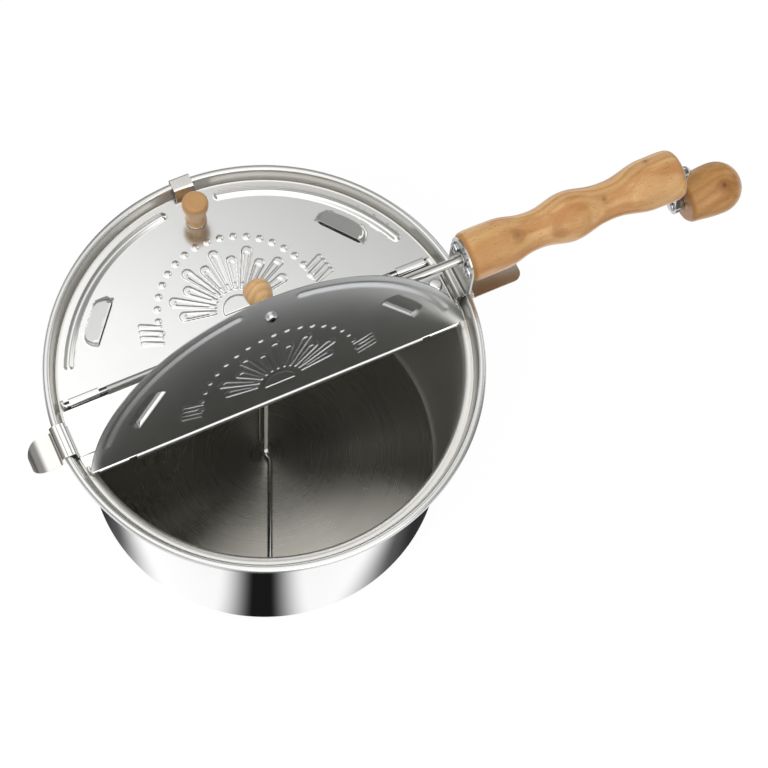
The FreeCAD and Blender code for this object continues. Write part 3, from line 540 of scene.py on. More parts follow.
def lathe_solid(profile, spacing, steps, bore=None, bore_depth=None):
    """Solid of revolution about Z, from a smooth profile, with softened end edges and a centre bore."""
    outer = [tuple(p) for p in spline(profile, spacing)]
    start, end = outer[0], outer[-1]
    first = [(0.0, start[0]), (start[1] * 0.55, start[0]), (start[1] - 0.25, start[0])]
    last = [(max(end[1] - 0.25, 0.1), end[0]), (end[1] * 0.55, end[0]), (0.0, end[0])]
    if bore:
        first = [(bore, start[0] + bore_depth), (bore, start[0] + 0.3), (bore + 0.3, start[0])] + first[1:]
        first = [(0.0, start[0] + bore_depth)] + first
    return turn(first + [(r, s) for s, r in outer] + last, steps)[:2]


# Profiles: distance along the piece and radius.
HANDLE_PROFILE = [(0, 12.7), (1.0, 13.8), (3.2, 14.5), (8, 14.65), (18, 14.6), (24, 14.3), (29.5, 13.3),
                  (35, 11.9), (41, 11.15), (47, 11.2), (53, 12.3), (59, 13.8), (65, 14.5), (70.5, 14.1),
                  (76, 12.9), (82, 11.6), (88, 11.05), (94, 11.1), (100, 12.0), (107, 13.7), (113, 14.8),
                  (120, 15.0), (129, 15.0), (132.6, 14.5), (134.6, 13.4), (HANDLE_END - HANDLE_START, 12.3)]
LID_KNOB_PROFILE = [(0, 6.1), (1.5, 6.2), (4, 5.75), (7, 5.6), (10, 5.9), (13, 6.8), (15.5, 7.5),
                    (18.2, 7.65), (20.6, 7.3), (21.7, 6.3), (22.0, 5.0)]
CRANK_KNOB_PROFILE = [(0, 12.3), (0.9, 13.2), (4.5, 14.1), (11, 14.9), (17, 15.5), (22, 15.7), (27, 15.0),
                      (31.5, 12.9), (35, 9.6), (37.2, 5.4), (38.0, 1.2)]


def swing(points, origin, angle):
    """Turn points in mm about an axis along X through origin (y, z)."""
    c, s = math.cos(angle), math.sin(angle)
    out = []
    for x, y, z in points:
        dy, dz = y - origin[0], z - origin[1]
        out.append((x, origin[0] + dy * c - dz * s, origin[1] + dy * s + dz * c))
    return out


def to_front(points):
    """A point of the shut rear lid, turned to the front side and swung open."""
    return swing([(-x, -y, z) for x, y, z in points], (-HINGE_Y, HINGE_Z), -FRONT_LID_OPEN)


def add_woods():
    """The grip and the three knobs, each turned about Z and then put in its place."""
    points, faces = lathe_solid(HANDLE_PROFILE, 0.8, 128, bore=3.3, bore_depth=20.0)
    points = [(HANDLE_START + z, y, AXIS_Z - x) for x, y, z in points]
    add_piece("grip", points, faces, [WOOD["handle"]], "lid_assembly", "handle")
    points, faces = lathe_solid(LID_KNOB_PROFILE, 0.35, 96)
    rear = [(x, LID_KNOB_Y + y, LID_TOP + 0.8 + z) for x, y, z in points]
    add_piece("rear_lid_knob", rear, faces, [WOOD["knob"]], "rear_lid", "rear_knob")
    front = to_front([(x, LID_KNOB_Y + y, LID_TOP + z) for x, y, z in points])
    add_piece("front_lid_knob", front, faces, [WOOD["front_knob"]], "front_lid", "front_knob")
    points, faces = lathe_solid(CRANK_KNOB_PROFILE, 0.5, 128, bore=3.3, bore_depth=12.0)
    points = [(KNOB_FACE + z, y, KNOB_Z - x) for x, y, z in points]
    add_piece("crank_grip", points, faces, [WOOD["crank_knob"]], "crank_knob", "crank_knob")


# ---------------------------------------------------------------- lids
RIB_RADIUS, RIB_ROLL, RIB_RISE = 110.0, 2.9, 1.3
RIB_SPAN = (23.0, 80.8)
VENT_MIDDLE = (72.5, 59.1)
VENT_ANGLE = math.radians(38.1)
VENT_HALF, VENT_DEPTH, VENT_RISE, VENT_SQUARE = 15.4, 10.6, 2.7, 2.86
PLATE_EDGE = HINGE_Y + 2.7
LID_EDGE = 0.15
SUN_Y, SUN_RADIUS, DOT_ARC = 37.0, 9.0, 46.5
FINE_CELL, COARSE_CELL = 0.56, 1.25


def rib_height(x, y):
    """Rise of the two arc ribs at points (x, y)."""
    angle = np.degrees(np.arctan2(y, np.abs(x)))
    nearest = np.radians(np.clip(angle, *RIB_SPAN))
    away = np.hypot(np.abs(x) - RIB_RADIUS * np.cos(nearest), y - RIB_RADIUS * np.sin(nearest))
    half = math.sqrt(RIB_ROLL ** 2 - (RIB_ROLL - RIB_RISE) ** 2) + 0.6
    return RIB_RISE * np.clip(np.cos(np.pi * np.clip(away / half, 0, 1)) * 0.5 + 0.5, 0, 1) ** 0.8


def petal(x, y, angle, near, far, wide):
    """Distance inside (positive) a rounded petal that points along angle from the centre."""
    c, s = math.cos(angle), math.sin(angle)
    along, beside = x * c + y * s, np.abs(-x * s + y * c)
    t = np.clip((along - near) / (far - near), 0, 1)
    half = wide * (0.35 + 0.65 * t)
    centre = np.clip(along, near + wide * 0.35, far - wide)
    return half - np.hypot(along - centre, beside)


def step_up(inside, slope, rise):
    t = np.clip(inside / slope + 0.5, 0, 1)
    return rise * t * t * (3 - 2 * t)


def motif_height(x, y):
    """Rise of the pressed ornament on both lids: a sunburst in an arc of dots, four bars at each side."""
    cx, cy = x, y - SUN_Y
    height = np.zeros_like(x)
    for k in range(11):
        angle = math.radians(15 + 15 * k)
        far = 40.0 if k % 2 else 34.0
        inside = petal(cx, cy, angle, 13.0, far, 3.1)
        height = np.maximum(height, step_up(inside, 1.0, 0.5))
        height = height - step_up(petal(cx, cy, angle, 17.0, far - 3.5, 1.6), 0.9, 0.35)
    sun = SUN_RADIUS - np.hypot(cx, cy)
    height = np.maximum(height, step_up(np.minimum(sun, cy + 0.5), 1.0, 0.55))
    for k in range(19):
        angle = math.radians(4.5 + 9.5 * k)
        dot = np.hypot(cx - DOT_ARC * math.cos(angle), cy - DOT_ARC * math.sin(angle))
        height = np.maximum(height, step_up(1.6 - dot, 1.4, 0.45))
    for side in (-1, 1):
        for k in range(4):
            inside = petal(cx - side * (53 - 0.8 * k), cy - 3.4 * k, math.radians(90 - side * 68),
                           -6.5, 6.5, 1.7)
            height = np.maximum(height, step_up(inside, 1.0, 0.4))
    return height


def vent_frame(x, y, side):
    """Coordinates along and out from a vent's straight slit."""
    dx, dy = x * side - VENT_MIDDLE[0], y - VENT_MIDDLE[1]
    c, s = math.cos(VENT_ANGLE), math.sin(VENT_ANGLE)
    return dx * c + dy * s, -dx * s + dy * c


def vent_scale(out, along):
    """1 on the hood's foot, less inside it."""
    return ((np.clip(out, 0, None) / VENT_DEPTH) ** VENT_SQUARE
            + (np.abs(along) / VENT_HALF) ** VENT_SQUARE) ** (1 / VENT_SQUARE)


def vent_height(out, along):
    """Rise of the hood: a flat face up to the slit, with steep ends and a soft foot."""
    face = 0.05 + (VENT_RISE - 0.05) * (1 - out / VENT_DEPTH)
    wall = (1 - vent_scale(out, along)) * VENT_DEPTH * 1.5
    blend = 0.5
    mixed = np.clip(0.5 + 0.5 * (wall - face) / blend, 0, 1)
    return np.maximum(face * mixed + wall * (1 - mixed) - blend * mixed * (1 - mixed), 0)


def vent_rim(angle, scale=1.0):
    """A point of the hood's foot, from its slit: square at the ends, gently curved at the back."""
    power = 2 / VENT_SQUARE
    return (scale * VENT_DEPTH * abs(math.cos(angle)) ** power,
            scale * VENT_HALF * math.copysign(abs(math.sin(angle)) ** power, angle))


def vent_point(out, along, side=1):
    """Plan point of a place in a vent's own coordinates."""
    c, s = math.cos(VENT_ANGLE), math.sin(VENT_ANGLE)
    return (VENT_MIDDLE[0] + out * c - along * s) * side, VENT_MIDDLE[1] + out * s + along * c


def lid_plan():
    """The lid's outline in plan, counter-clockwise."""
    radius, low = LID_RADIUS - LID_EDGE, PLATE_EDGE + LID_EDGE
    start = math.asin(low / radius)
    arc = [(radius * math.cos(a), radius * math.sin(a)) for a in np.linspace(start, math.pi - start, 300)]
    return arc + [(x, low) for x in np.linspace(arc[-1][0], arc[0][0], 190)[1:-1]]


def inside_lid(p, margin):
    return ((np.hypot(p[:, 0], p[:, 1]) < LID_RADIUS - LID_EDGE - margin)
            & (p[:, 1] > PLATE_EDGE + LID_EDGE + margin))


def hex_grid(spacing):
    """Plan points in rows of equal triangles, over the lid's whole box."""
    xs, ys = np.arange(-117, 117, spacing), np.arange(20, 117, spacing * 0.866)
    return np.array([(x + (spacing / 2 if j % 2 else 0), y) for j, y in enumerate(ys) for x in xs])


def on_relief(p):
    """Which plan points lie on a rib or the ornament, where the sheet needs small cells."""
    x, y = np.abs(p[:, 0]), p[:, 1]
    angle = np.degrees(np.arctan2(y, x))
    past_end = np.maximum(RIB_SPAN[0] - angle, angle - RIB_SPAN[1])
    rib = (np.abs(np.hypot(x, y) - RIB_RADIUS) < 3.4) & (past_end < 2)
    sun = (np.hypot(x, y - SUN_Y) < 50) & (y > 34)
    bars = (np.abs(x - 52) < 9) & (np.abs(y - 42.5) < 10)
    return rib | sun | bars


def lid_cells():
    """Plan points and triangles of a lid, with edges along each vent's foot and slit."""
    plan = lid_plan()
    coarse, fine = hex_grid(COARSE_CELL), hex_grid(FINE_CELL)
    grid = np.concatenate([coarse[~on_relief(coarse)], fine[on_relief(fine)]])
    grid = grid[inside_lid(grid, 0.45)]
    clear = np.ones(len(grid), bool)
    extra, edges = [], []
    base = len(plan)
    for side in (-1, 1):
        out, along = vent_frame(grid[:, 0], grid[:, 1], side)
        scale = vent_scale(out, along)
        clear &= ~((np.abs(scale - 1) < 0.06) & (out > -0.5))
        clear &= ~((np.abs(out) < 0.45) & (np.abs(along) < VENT_HALF + 0.4))
        clear &= ~((scale < 1.0) & (out > 0))
        foot = [vent_point(*vent_rim(math.pi * (k / 40 - 0.5)), side) for k in range(41)]
        (x0, y0), (x1, y1) = foot[-1], foot[0]
        loop = foot + [(x0 + (x1 - x0) * k / 36, y0 + (y1 - y0) * k / 36) for k in range(1, 36)]
        first = base + len(extra)
        edges += [(first + k, first + (k + 1) % len(loop)) for k in range(len(loop))]
        extra += loop
        for ring in (0.97, 0.92, 0.85, 0.76, 0.65, 0.52, 0.38, 0.22):
            rim = [vent_rim(math.pi * (k / 28 - 0.5), ring) for k in range(1, 28)]
            extra += [vent_point(*place, side) for place in rim if place[0] > 0.25]
    boundary = [(k, (k + 1) % base) for k in range(base)]
    everything = [Vector(p) for p in plan + extra] + [Vector(p) for p in grid[clear]]
    made = delaunay_2d_cdt(everything, boundary + edges, [], 0, 1e-5)
    points = np.array([tuple(v) for v in made[0]])
    cells = np.array([f for f in made[2] if len(f) == 3])
    a, b, c = (points[cells[:, k]] for k in range(3))
    clockwise = (b[:, 0] - a[:, 0]) * (c[:, 1] - a[:, 1]) <= (b[:, 1] - a[:, 1]) * (c[:, 0] - a[:, 0])
    cells[clockwise] = cells[clockwise][:, ::-1]
    return points, cells[inside_lid((a + b + c) / 3, -0.02)]


def lid_heights(points, raised):
    """Height of the sheet's upper side over its flat part; raised marks points on a louvre."""
    x, y = points[:, 0], points[:, 1]
    height = rib_height(x, y) + motif_height(x, y)
    for side in (-1, 1):
        out, along = vent_frame(x, y, side)
        height = np.where(raised & (x * side > 0), vent_height(np.maximum(out, 0), along), height)
    return height


def unit(x, y, z):
    vectors = np.stack([x, y, z], 1)
    return vectors / np.linalg.norm(vectors, axis=1)[:, None]


def lid_shell():
    """Points, faces and normals of a shut rear lid's sheet, and how many of the points are on its upper side.
    The slits' points appear twice, for the flat sheet and for the louvre."""
    plan, cells = lid_cells()
    middle = plan[cells].mean(1)
    on_vent, slit = np.zeros(len(cells), bool), np.zeros(len(plan), bool)
    for side in (-1, 1):
        out, along = vent_frame(middle[:, 0], middle[:, 1], side)
        on_vent |= (out > 0) & (vent_scale(out, along) < 1.0)
        out, along = vent_frame(plan[:, 0], plan[:, 1], side)
        slit |= (np.abs(out) < 1e-3) & (np.abs(along) < VENT_HALF - 1e-3)
    twin = np.arange(len(plan))
    twin[slit] = len(plan) + np.arange(slit.sum())
    points = np.concatenate([plan, plan[slit]])
    cells = np.where(on_vent[:, None], twin[cells], cells)
    raised = np.zeros(len(points), bool)
    raised[cells[on_vent].ravel()] = True
    height = lid_heights(points, raised)
    step = 0.05
    rise = [(lid_heights(points + ahead, raised) - lid_heights(points - ahead, raised)) / (2 * step)
            for ahead in (np.array((step, 0)), np.array((0, step)))]
    steep = np.minimum(1.0, 2.2 / np.maximum(np.hypot(*rise), 1e-6))
    normal = unit(-rise[0] * steep, -rise[1] * steep, np.ones(len(points)))
    top = np.column_stack([points, LID_TOP + height])
    under = top - normal * LID_SHEET
    under[:, 2] = np.where(height > 0, under[:, 2], SEAT_Z)
    count = len(points)
    edges = [edge for a, b, c in cells.tolist() for edge in ((a, b), (b, c), (c, a))]
    known = set(edges)
    faces = [tuple(f) for f in cells] + [tuple(f[::-1] + count) for f in cells]
    faces += [(b, a, a + count, b + count) for a, b in edges if (b, a) not in known]
    near_rib = np.hypot(points[:, 0], points[:, 1]) > 88.0
    soft = steep * np.where(raised, 0.35, np.where(near_rib, 0.14, 0.75))
    hollow = unit(rise[0] * soft, rise[1] * soft, -np.ones(len(points)))
    return np.concatenate([top, under]), faces, np.concatenate([normal, hollow]), count


def round_pin(radius, start, sweep, steps):
    """Points in (y, z) round the hinge pin, from start by sweep in degrees."""
    turns = [math.radians(start + sweep * k / steps) for k in range(steps + 1)]
    return [Vector((HINGE_Y + radius * math.cos(t), HINGE_Z + radius * math.sin(t))) for t in turns]


def bar_curl():
    """Outline in (y, z) of the crossbar's edge, which curls up round the hinge pin."""
    thick, radius, start = 0.85, 2.3, 17.0
    low = SEAT_Z + 0.075 + thick / 2
    path = [Vector((start, low)), Vector(((start + HINGE_Y) / 2, low))]
    return sheet_loop(path + round_pin(radius - thick / 2, -90, 298, 30), thick, 0.18)


def lid_curl():
    """Outline in (y, z) of a lid's edge, which steps up, runs over the hinge pin and curls down round it."""
    low, middle = SEAT_Z + LID_SHEET / 2, KNUCKLE_RADIUS - LID_SHEET / 2
    high, step = HINGE_Z + middle, PLATE_EDGE - 0.1
    path = rounded([(PLATE_EDGE + 1.5, low, 0), (step, low, 0.4), (step, high, 0.5),
                    (HINGE_Y + 0.5, high, 0)])
    return sheet_loop(path + round_pin(middle, 90, 270, 28), LID_SHEET - 0.02, 0.18)


def extruded(loop, start, end):
    """Prism of an outline in (y, z) along X."""
    n = len(loop)
    faces = band(n) + caps(n)
    area = sum(loop[k].x * loop[(k + 1) % n].y - loop[(k + 1) % n].x * loop[k].y for k in range(n))
    points = [(x, p.x, p.y) for x in (start, end) for p in loop]
    return points, faces if area > 0 else [f[::-1] for f in faces]


def smooth_by_angle(mesh, degrees):
    """Mark edges sharper than the angle, so that flats stay flat and bends stay smooth."""
    def mark(work):
        for edge in work.edges:
            edge.smooth = len(edge.link_faces) == 2 and edge.calc_face_angle(0) < math.radians(degrees)

    return rework(mesh, mark)


def add_lids():
    """Both lids' sheets with their short knuckles; the front one is the rear one turned and swung open."""
    sheet, faces, normals, count = lid_shell()
    points, all_faces = [tuple(p) for p in sheet], list(faces)
    for start, end in ((LID_KNUCKLE_START, LID_KNUCKLE_END), (-LID_KNUCKLE_END, -LID_KNUCKLE_START)):
        more, more_faces = extruded(lid_curl(), start, end)
        all_faces += [tuple(i + len(points) for i in f) for f in more_faces]
        points += more
    finish = [int(len(f) == 3 and min(f) >= count) for f in all_faces]
    opened = swing([(-x, -y, z) for x, y, z in normals], (0, 0), -FRONT_LID_OPEN)
    for name, node, places, turned in (("rear_lid_sheet", "rear_lid", points, normals),
                                       ("front_lid_sheet", "front_lid", to_front(points), opened)):
        piece = add_piece(name, places, all_faces, [STEEL["lid"], STEEL["lid_under"]], node, node,
                          finish)
        mesh = smooth_by_angle(piece.data, 35)
        loops = np.zeros((len(mesh.loops), 3), np.float32)
        for polygon in mesh.polygons[:len(faces)]:
            if len(polygon.vertices) == 3:
                for k in polygon.loop_indices:
                    loops[k] = turned[mesh.loops[k].vertex_index]
        mesh.normals_split_custom_set([tuple(n) for n in loops])


# ---------------------------------------------------------------- crossbar
def add_crossbar():
    """Flat bar with rounded ends, and a long curl of its own sheet along both sides."""
    half, edge = 18.7, 0.16
    turn_angle = math.asin(half / LID_RADIUS)
    centre = np.array([(LID_RADIUS * math.cos(base + a), LID_RADIUS * math.sin(base + a))
                       for base in (0.0, math.pi) for a in np.linspace(-turn_angle, turn_angle, 24)])
    n = len(centre)
    shrink = centre - edge * np.sign(centre) * (np.abs(centre) > 1)
    levels = [(shrink, SEAT_Z), (centre, SEAT_Z + edge), (centre, BAR_TOP - edge), (shrink, BAR_TOP)]
    points = [(x, y, z) for ring, z in levels for x, y in ring]
    faces = band(n) + band(n, 1) + band(n, 2) + caps(n, 3)
    finish = [0] * len(faces)
    more, more_faces = extruded(bar_curl(), -LONG_KNUCKLE_END, LONG_KNUCKLE_END)
    for sign in (1, -1):
        faces += [tuple(i + len(points) for i in f[::sign]) for f in more_faces]
        points += [(x, y * sign, z) for x, y, z in more]
        finish += [1] * len(more_faces)
    # The curls take the darker rolled-edge steel: painted shade on the bar's own sheet.
    piece = add_piece("lid_crossbar", points, faces, [STEEL["bar"], STEEL["curl"]], "lid_assembly",
                      "crossbar", finish)
    smooth_by_angle(piece.data, 35)


# ---------------------------------------------------------------- pieces taken from the frame
def soft_edges(mesh, width):
    """The mesh with its sharp edges rounded by width in mm, its flats shaded flat."""
    def merge(work):
        bmesh.ops.remove_doubles(work, verts=work.verts, dist=1e-6)
        bmesh.ops.dissolve_limit(work, angle_limit=math.radians(0.6), verts=work.verts, edges=work.edges,
                                 delimit={"NORMAL"})

    rework(mesh, merge)
    mesh.polygons.foreach_set("use_smooth", [True] * len(mesh.polygons))
    if not width:
        return smooth_by_angle(mesh, 38)
    holder = new_object("soft_edges", mesh)
    bevel = holder.modifiers.new("edges", "BEVEL")
    bevel.width, bevel.segments, bevel.limit_method = width * MM, 2, "ANGLE"
    bevel.angle_limit = math.radians(32)
    holder.modifiers.new("shading", "WEIGHTED_NORMAL").keep_sharp = True
    return plain_mesh(holder)


def plain_mesh(holder):
    """The mesh that an object's modifiers make; the object itself goes."""
    seen = holder.evaluated_get(bpy.context.evaluated_depsgraph_get())
    mesh = bpy.data.meshes.new_from_object(seen)
    bpy.data.objects.remove(holder)
    return mesh


def soften(node, name, finish, body, width):
    """A copy of a frame piece with its sharp edges rounded."""
    mesh = soft_edges(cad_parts[node].data.copy(), width)
    mesh.materials.clear()
    mesh.materials.append(finish)
    attach(new_object(name, mesh), body, node)


# ---------------------------------------------------------------- repeated pieces, by Geometry Nodes
def copies_tree():
    """A copy of one object at each point, the next always turned Step further about Z, joined to a body."""
    tree = bpy.data.node_groups.new("copies_at_points", "GeometryNodeTree")
    for label, kind in (("Points", "Geometry"), ("Copy", "Object"), ("Body", "Object"), ("Start", "Float"),
                        ("Step", "Float"), ("Size", "Float"), ("Finish", "Material")):
        tree.interface.new_socket(label, in_out="INPUT", socket_type="NodeSocket" + kind)
    tree.interface.new_socket("Geometry", in_out="OUTPUT", socket_type="NodeSocketGeometry")
    made = {}

    def node(key, kind, operation=None, **links):
        made[key] = tree.nodes.new(kind)
        if operation:
            made[key].operation = operation
        for label, (source, output) in links.items():
            socket = int(label[1:]) if label[0] == "_" else label
            tree.links.new(made[source].outputs[output], made[key].inputs[socket])

    node("given", "NodeGroupInput")
    node("copy", "GeometryNodeObjectInfo", Object=("given", "Copy"))
    node("body", "GeometryNodeObjectInfo", Object=("given", "Body"))
    node("number", "GeometryNodeInputIndex")
    node("turned", "ShaderNodeMath", "MULTIPLY", _0=("number", 0), _1=("given", "Step"))
    node("angle", "ShaderNodeMath", "ADD", _0=("turned", 0), _1=("given", "Start"))
    node("spin", "ShaderNodeCombineXYZ", Z=("angle", 0))
    node("placed", "GeometryNodeInstanceOnPoints", Points=("given", "Points"), Instance=("copy", "Geometry"),
         Rotation=("spin", 0), Scale=("given", "Size"))
    node("joined", "GeometryNodeJoinGeometry", Geometry=("placed", 0))
    tree.links.new(made["body"].outputs["Geometry"], made["joined"].inputs[0])
    node("real", "GeometryNodeRealizeInstances", Geometry=("joined", 0))
    node("finish", "GeometryNodeSetMaterial", Geometry=("real", 0), Material=("given", "Finish"))
    node("result", "NodeGroupOutput", Geometry=("finish", 0))
    return tree


COPIES = copies_tree()


def add_copies(name, copy, places, finish, body, node, hub=None, start=0.0, step=0.0, matrix=None):
    """Copies of a mesh at places in mm, with a hub mesh between them if given, as one piece."""
    pattern = new_object(name + "_copy", copy)
    middle = new_object(name + "_hub", hub) if hub else None
    holder = new_object(name + "_points", mesh_of(name, places))
    modifier = holder.modifiers.new("copies", "NODES")
    modifier.node_group = COPIES
    given = {"Copy": pattern, "Body": middle, "Start": start, "Step": step, "Size": 1.0, "Finish": finish}
    for item in COPIES.interface.items_tree:
        if given.get(item.name) is not None:
            modifier[item.identifier] = given[item.name]
    mesh = plain_mesh(holder)
    for used in (pattern, middle):
        if used:
            bpy.data.objects.remove(used)
    if matrix:
        mesh.transform(matrix)
    attach(new_object(name, mesh), body, node)


def turned_mesh(name, corners, steps, bore=False):
    """Mesh of a (radius, height, edge) outline in mm turned about Z; it ends on the axis unless bored."""
    points, faces, _ = turn([tuple(p) for p in rounded(corners, 20.0, closed=bore)], steps)
    mesh = mesh_of(name, points, faces, outward=True)
    mesh.polygons.foreach_set("use_smooth", [True] * len(mesh.polygons))
    return smooth_by_angle(mesh, 35)


def rivet(head_radius, head_height, shank_radius, grip, tail_radius, tail_height):
    """Domed head above z = 0, shank and upset tail below."""
    low = -grip - tail_height
    tail = [(0, low, 0), (tail_radius, low, tail_height * 0.6), (tail_radius, -grip, 0.08)]
    shank = [(shank_radius, -grip, 0), (shank_radius, 0, 0)]
    head = [(head_radius, 0, 0.12), (head_radius, head_height, head_height * 0.8), (0, head_height, 0)]
    return turned_mesh("rivet", tail + shank + head, 64)


def one_solid(node, width):
    """The solid of a frame piece that is at +Y, moved to y = 0 with its edges rounded, and its y in mm."""
    def drop_others(work):
        bmesh.ops.delete(work, geom=[v for v in work.verts if v.co.y < 0], context="VERTS")

    mesh = rework(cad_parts[node].data.copy(), drop_others)
    ys = [v.co.y for v in mesh.vertices]
    middle = (min(ys) + max(ys)) / 2
    mesh.transform(Matrix.Translation((0, -middle, 0)))
    return soft_edges(mesh, width), middle / MM


GEAR_TEETH, PITCH, GEAR_FACE, GEAR_HUB = 12, 11.4, 7.0, 6.0
TOOTH_FOOT, TOOTH_HEAD = 1.75, 1.3


def mitre_gear(name, bore, hub_end, first, body, node, matrix):
    """Mitre gear below its cone's point at the origin: a turned hub with teeth round it."""
    lean = 1 / math.sqrt(2)
    small = 1 - GEAR_FACE / (PITCH / lean)
    root_r, root_z = PITCH - TOOTH_FOOT * lean, -PITCH - TOOTH_FOOT * lean
    back_r, back_z = root_r - 2.2, root_z - 2.2
    hub = turned_mesh("hub", [(bore, root_z * small, 0.1), (root_r * small, root_z * small, 0.1),
                              (root_r, root_z, 0.2), (back_r, back_z, 0.3), (GEAR_HUB, back_z, 0.2),
                              (GEAR_HUB, -hub_end, 0.6), (bore, -hub_end, 0.1)], 96, True)
    flank = [(-TOOTH_FOOT - 0.5, 1.93), (-TOOTH_FOOT, 1.75), (0.0, 1.22), (TOOTH_HEAD - 0.3, 0.78),
             (TOOTH_HEAD, 0.48)]
    ring = [(PITCH + rise * lean, half * side, -PITCH + rise * lean)
            for side in (-1, 1) for rise, half in flank[::-side]]
    tooth = mesh_of("tooth", [tuple(c * size for c in p) for size in (1, small) for p in ring],
                    band(len(ring)) + caps(len(ring)), outward=True)
    add_copies(name, soft_edges(tooth, 0.12), [(0, 0, 0)] * GEAR_TEETH, STEEL["gear"], body, node,
               hub, first, 2 * math.pi / GEAR_TEETH, matrix)


def add_strap(name, path, reach, place, body, node):
    """Strap of 0.8 mm sheet along a middle line of (u, v) points in mm, reach(u) wide to each side. place
    gives x, y, z for u, the sideways distance and v."""
    loop = sheet_loop(path, 0.8, 0.15)
    count, stations = len(loop), len(path)
    points = [place(p.x, side * reach(p.x), p.y) for side in (-1, 1) for p in loop]
    faces = band(count)
    rows = [(0, 1)] + [(2 + count - 3 - i, 2 + i) for i in range(stations)] + [(stations + 3, stations + 2)]
    for (a, b), (c, d) in zip(rows, rows[1:]):
        faces += [(a, b, d, c), (count + c, count + d, count + b, count + a)]
    mesh = mesh_of(name, points, faces, outward=True)
    mesh.materials.append(STEEL["strap"])
    attach(new_object(name, soft_edges(mesh, 0.12)), body, node)


def add_straps():
    """The left clip's moving end with its curling thumb tab, and the latch under the rear knob."""
    bend, start, middle, corner, tip = 11.2, 130.5, 139.6, 8.0, 141.6
    path = rounded([(121.52, 148.6, 0), (125.1, 148.6, 3.4), (125.1, middle, 1.8), (start, middle, 0)])
    path += [Vector((start + bend * math.sin(a), middle - bend * (1 - math.cos(a))))
             for a in (math.radians(5 * k) for k in range(1, 15))]
    add_strap("left_clip_tab", path,
              lambda u: 10.0 - corner + math.sqrt(max(corner ** 2 - max(u - tip + corner, 0) ** 2, 0.01)),
              lambda u, w, v: (-u, -w, v), "left_clip", "left_clip")
    round_end, low, high = 5.9, LID_TOP + 0.4, POT_HEIGHT + 0.8
    path = [Vector((LID_KNOB_Y - round_end * math.cos(math.radians(8 * k)), low)) for k in range(11)]
    path += rounded([(LID_KNOB_Y + 1.0, low, 0), (113.2, low, 1.5), (116.8, high, 2.0), (124.9, high, 0.9),
                     (124.9, POT_HEIGHT - 5.5, 0)])
    add_strap("rear_lid_latch", path,
              lambda u: 6.0 if u > LID_KNOB_Y else math.sqrt(max(36.0 - (LID_KNOB_Y - u) ** 2, 0.2)),
              lambda u, w, v: (w, u, v), "rear_lid", "lid_latch")


def add_repeated_pieces():
    """Rivets, the grip's screws and both mitre gears."""
    for node, name, head, rise, shank, tail, upset, places in (
            ("clip_rivets", "clip_rivet_heads", 4.1, 1.8, 2.0, 2.4, 0.5, [(108.4, -5), (108.4, 5)]),
            ("gear_bracket_rivets", "gear_frame_rivets", 2.7, 1.3, 1.5, 2.3, 0.9, [(-10.4, 0), (16.2, 0)])):
        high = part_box(node)[1].z / MM - rise
        add_copies(name, rivet(head, rise, shank, high - SEAT_Z, tail, upset),
                   [(x, y, high) for x, y in places], STEEL["rivet"], "lid_assembly", node)
    screw, away = one_solid("handle_screws", 0.12)
    add_copies("grip_screws", screw, [(0, -away, 0), (0, away, 0)], STEEL["screw"], "lid_assembly",
               "handle_screws")
    raised = Matrix.Translation((0, 0, AXIS_Z * MM))
    mitre_gear("shaft_gear", 2.02, AXIS_Z - 150.3, math.pi / GEAR_TEETH, "stirrer", "driven_gear", raised)
    mitre_gear("rod_gear", 2.42, 20.2, 0.0, "crank", "drive_gear",
               raised @ Matrix.Rotation(-math.pi / 2, 4, "Y"))


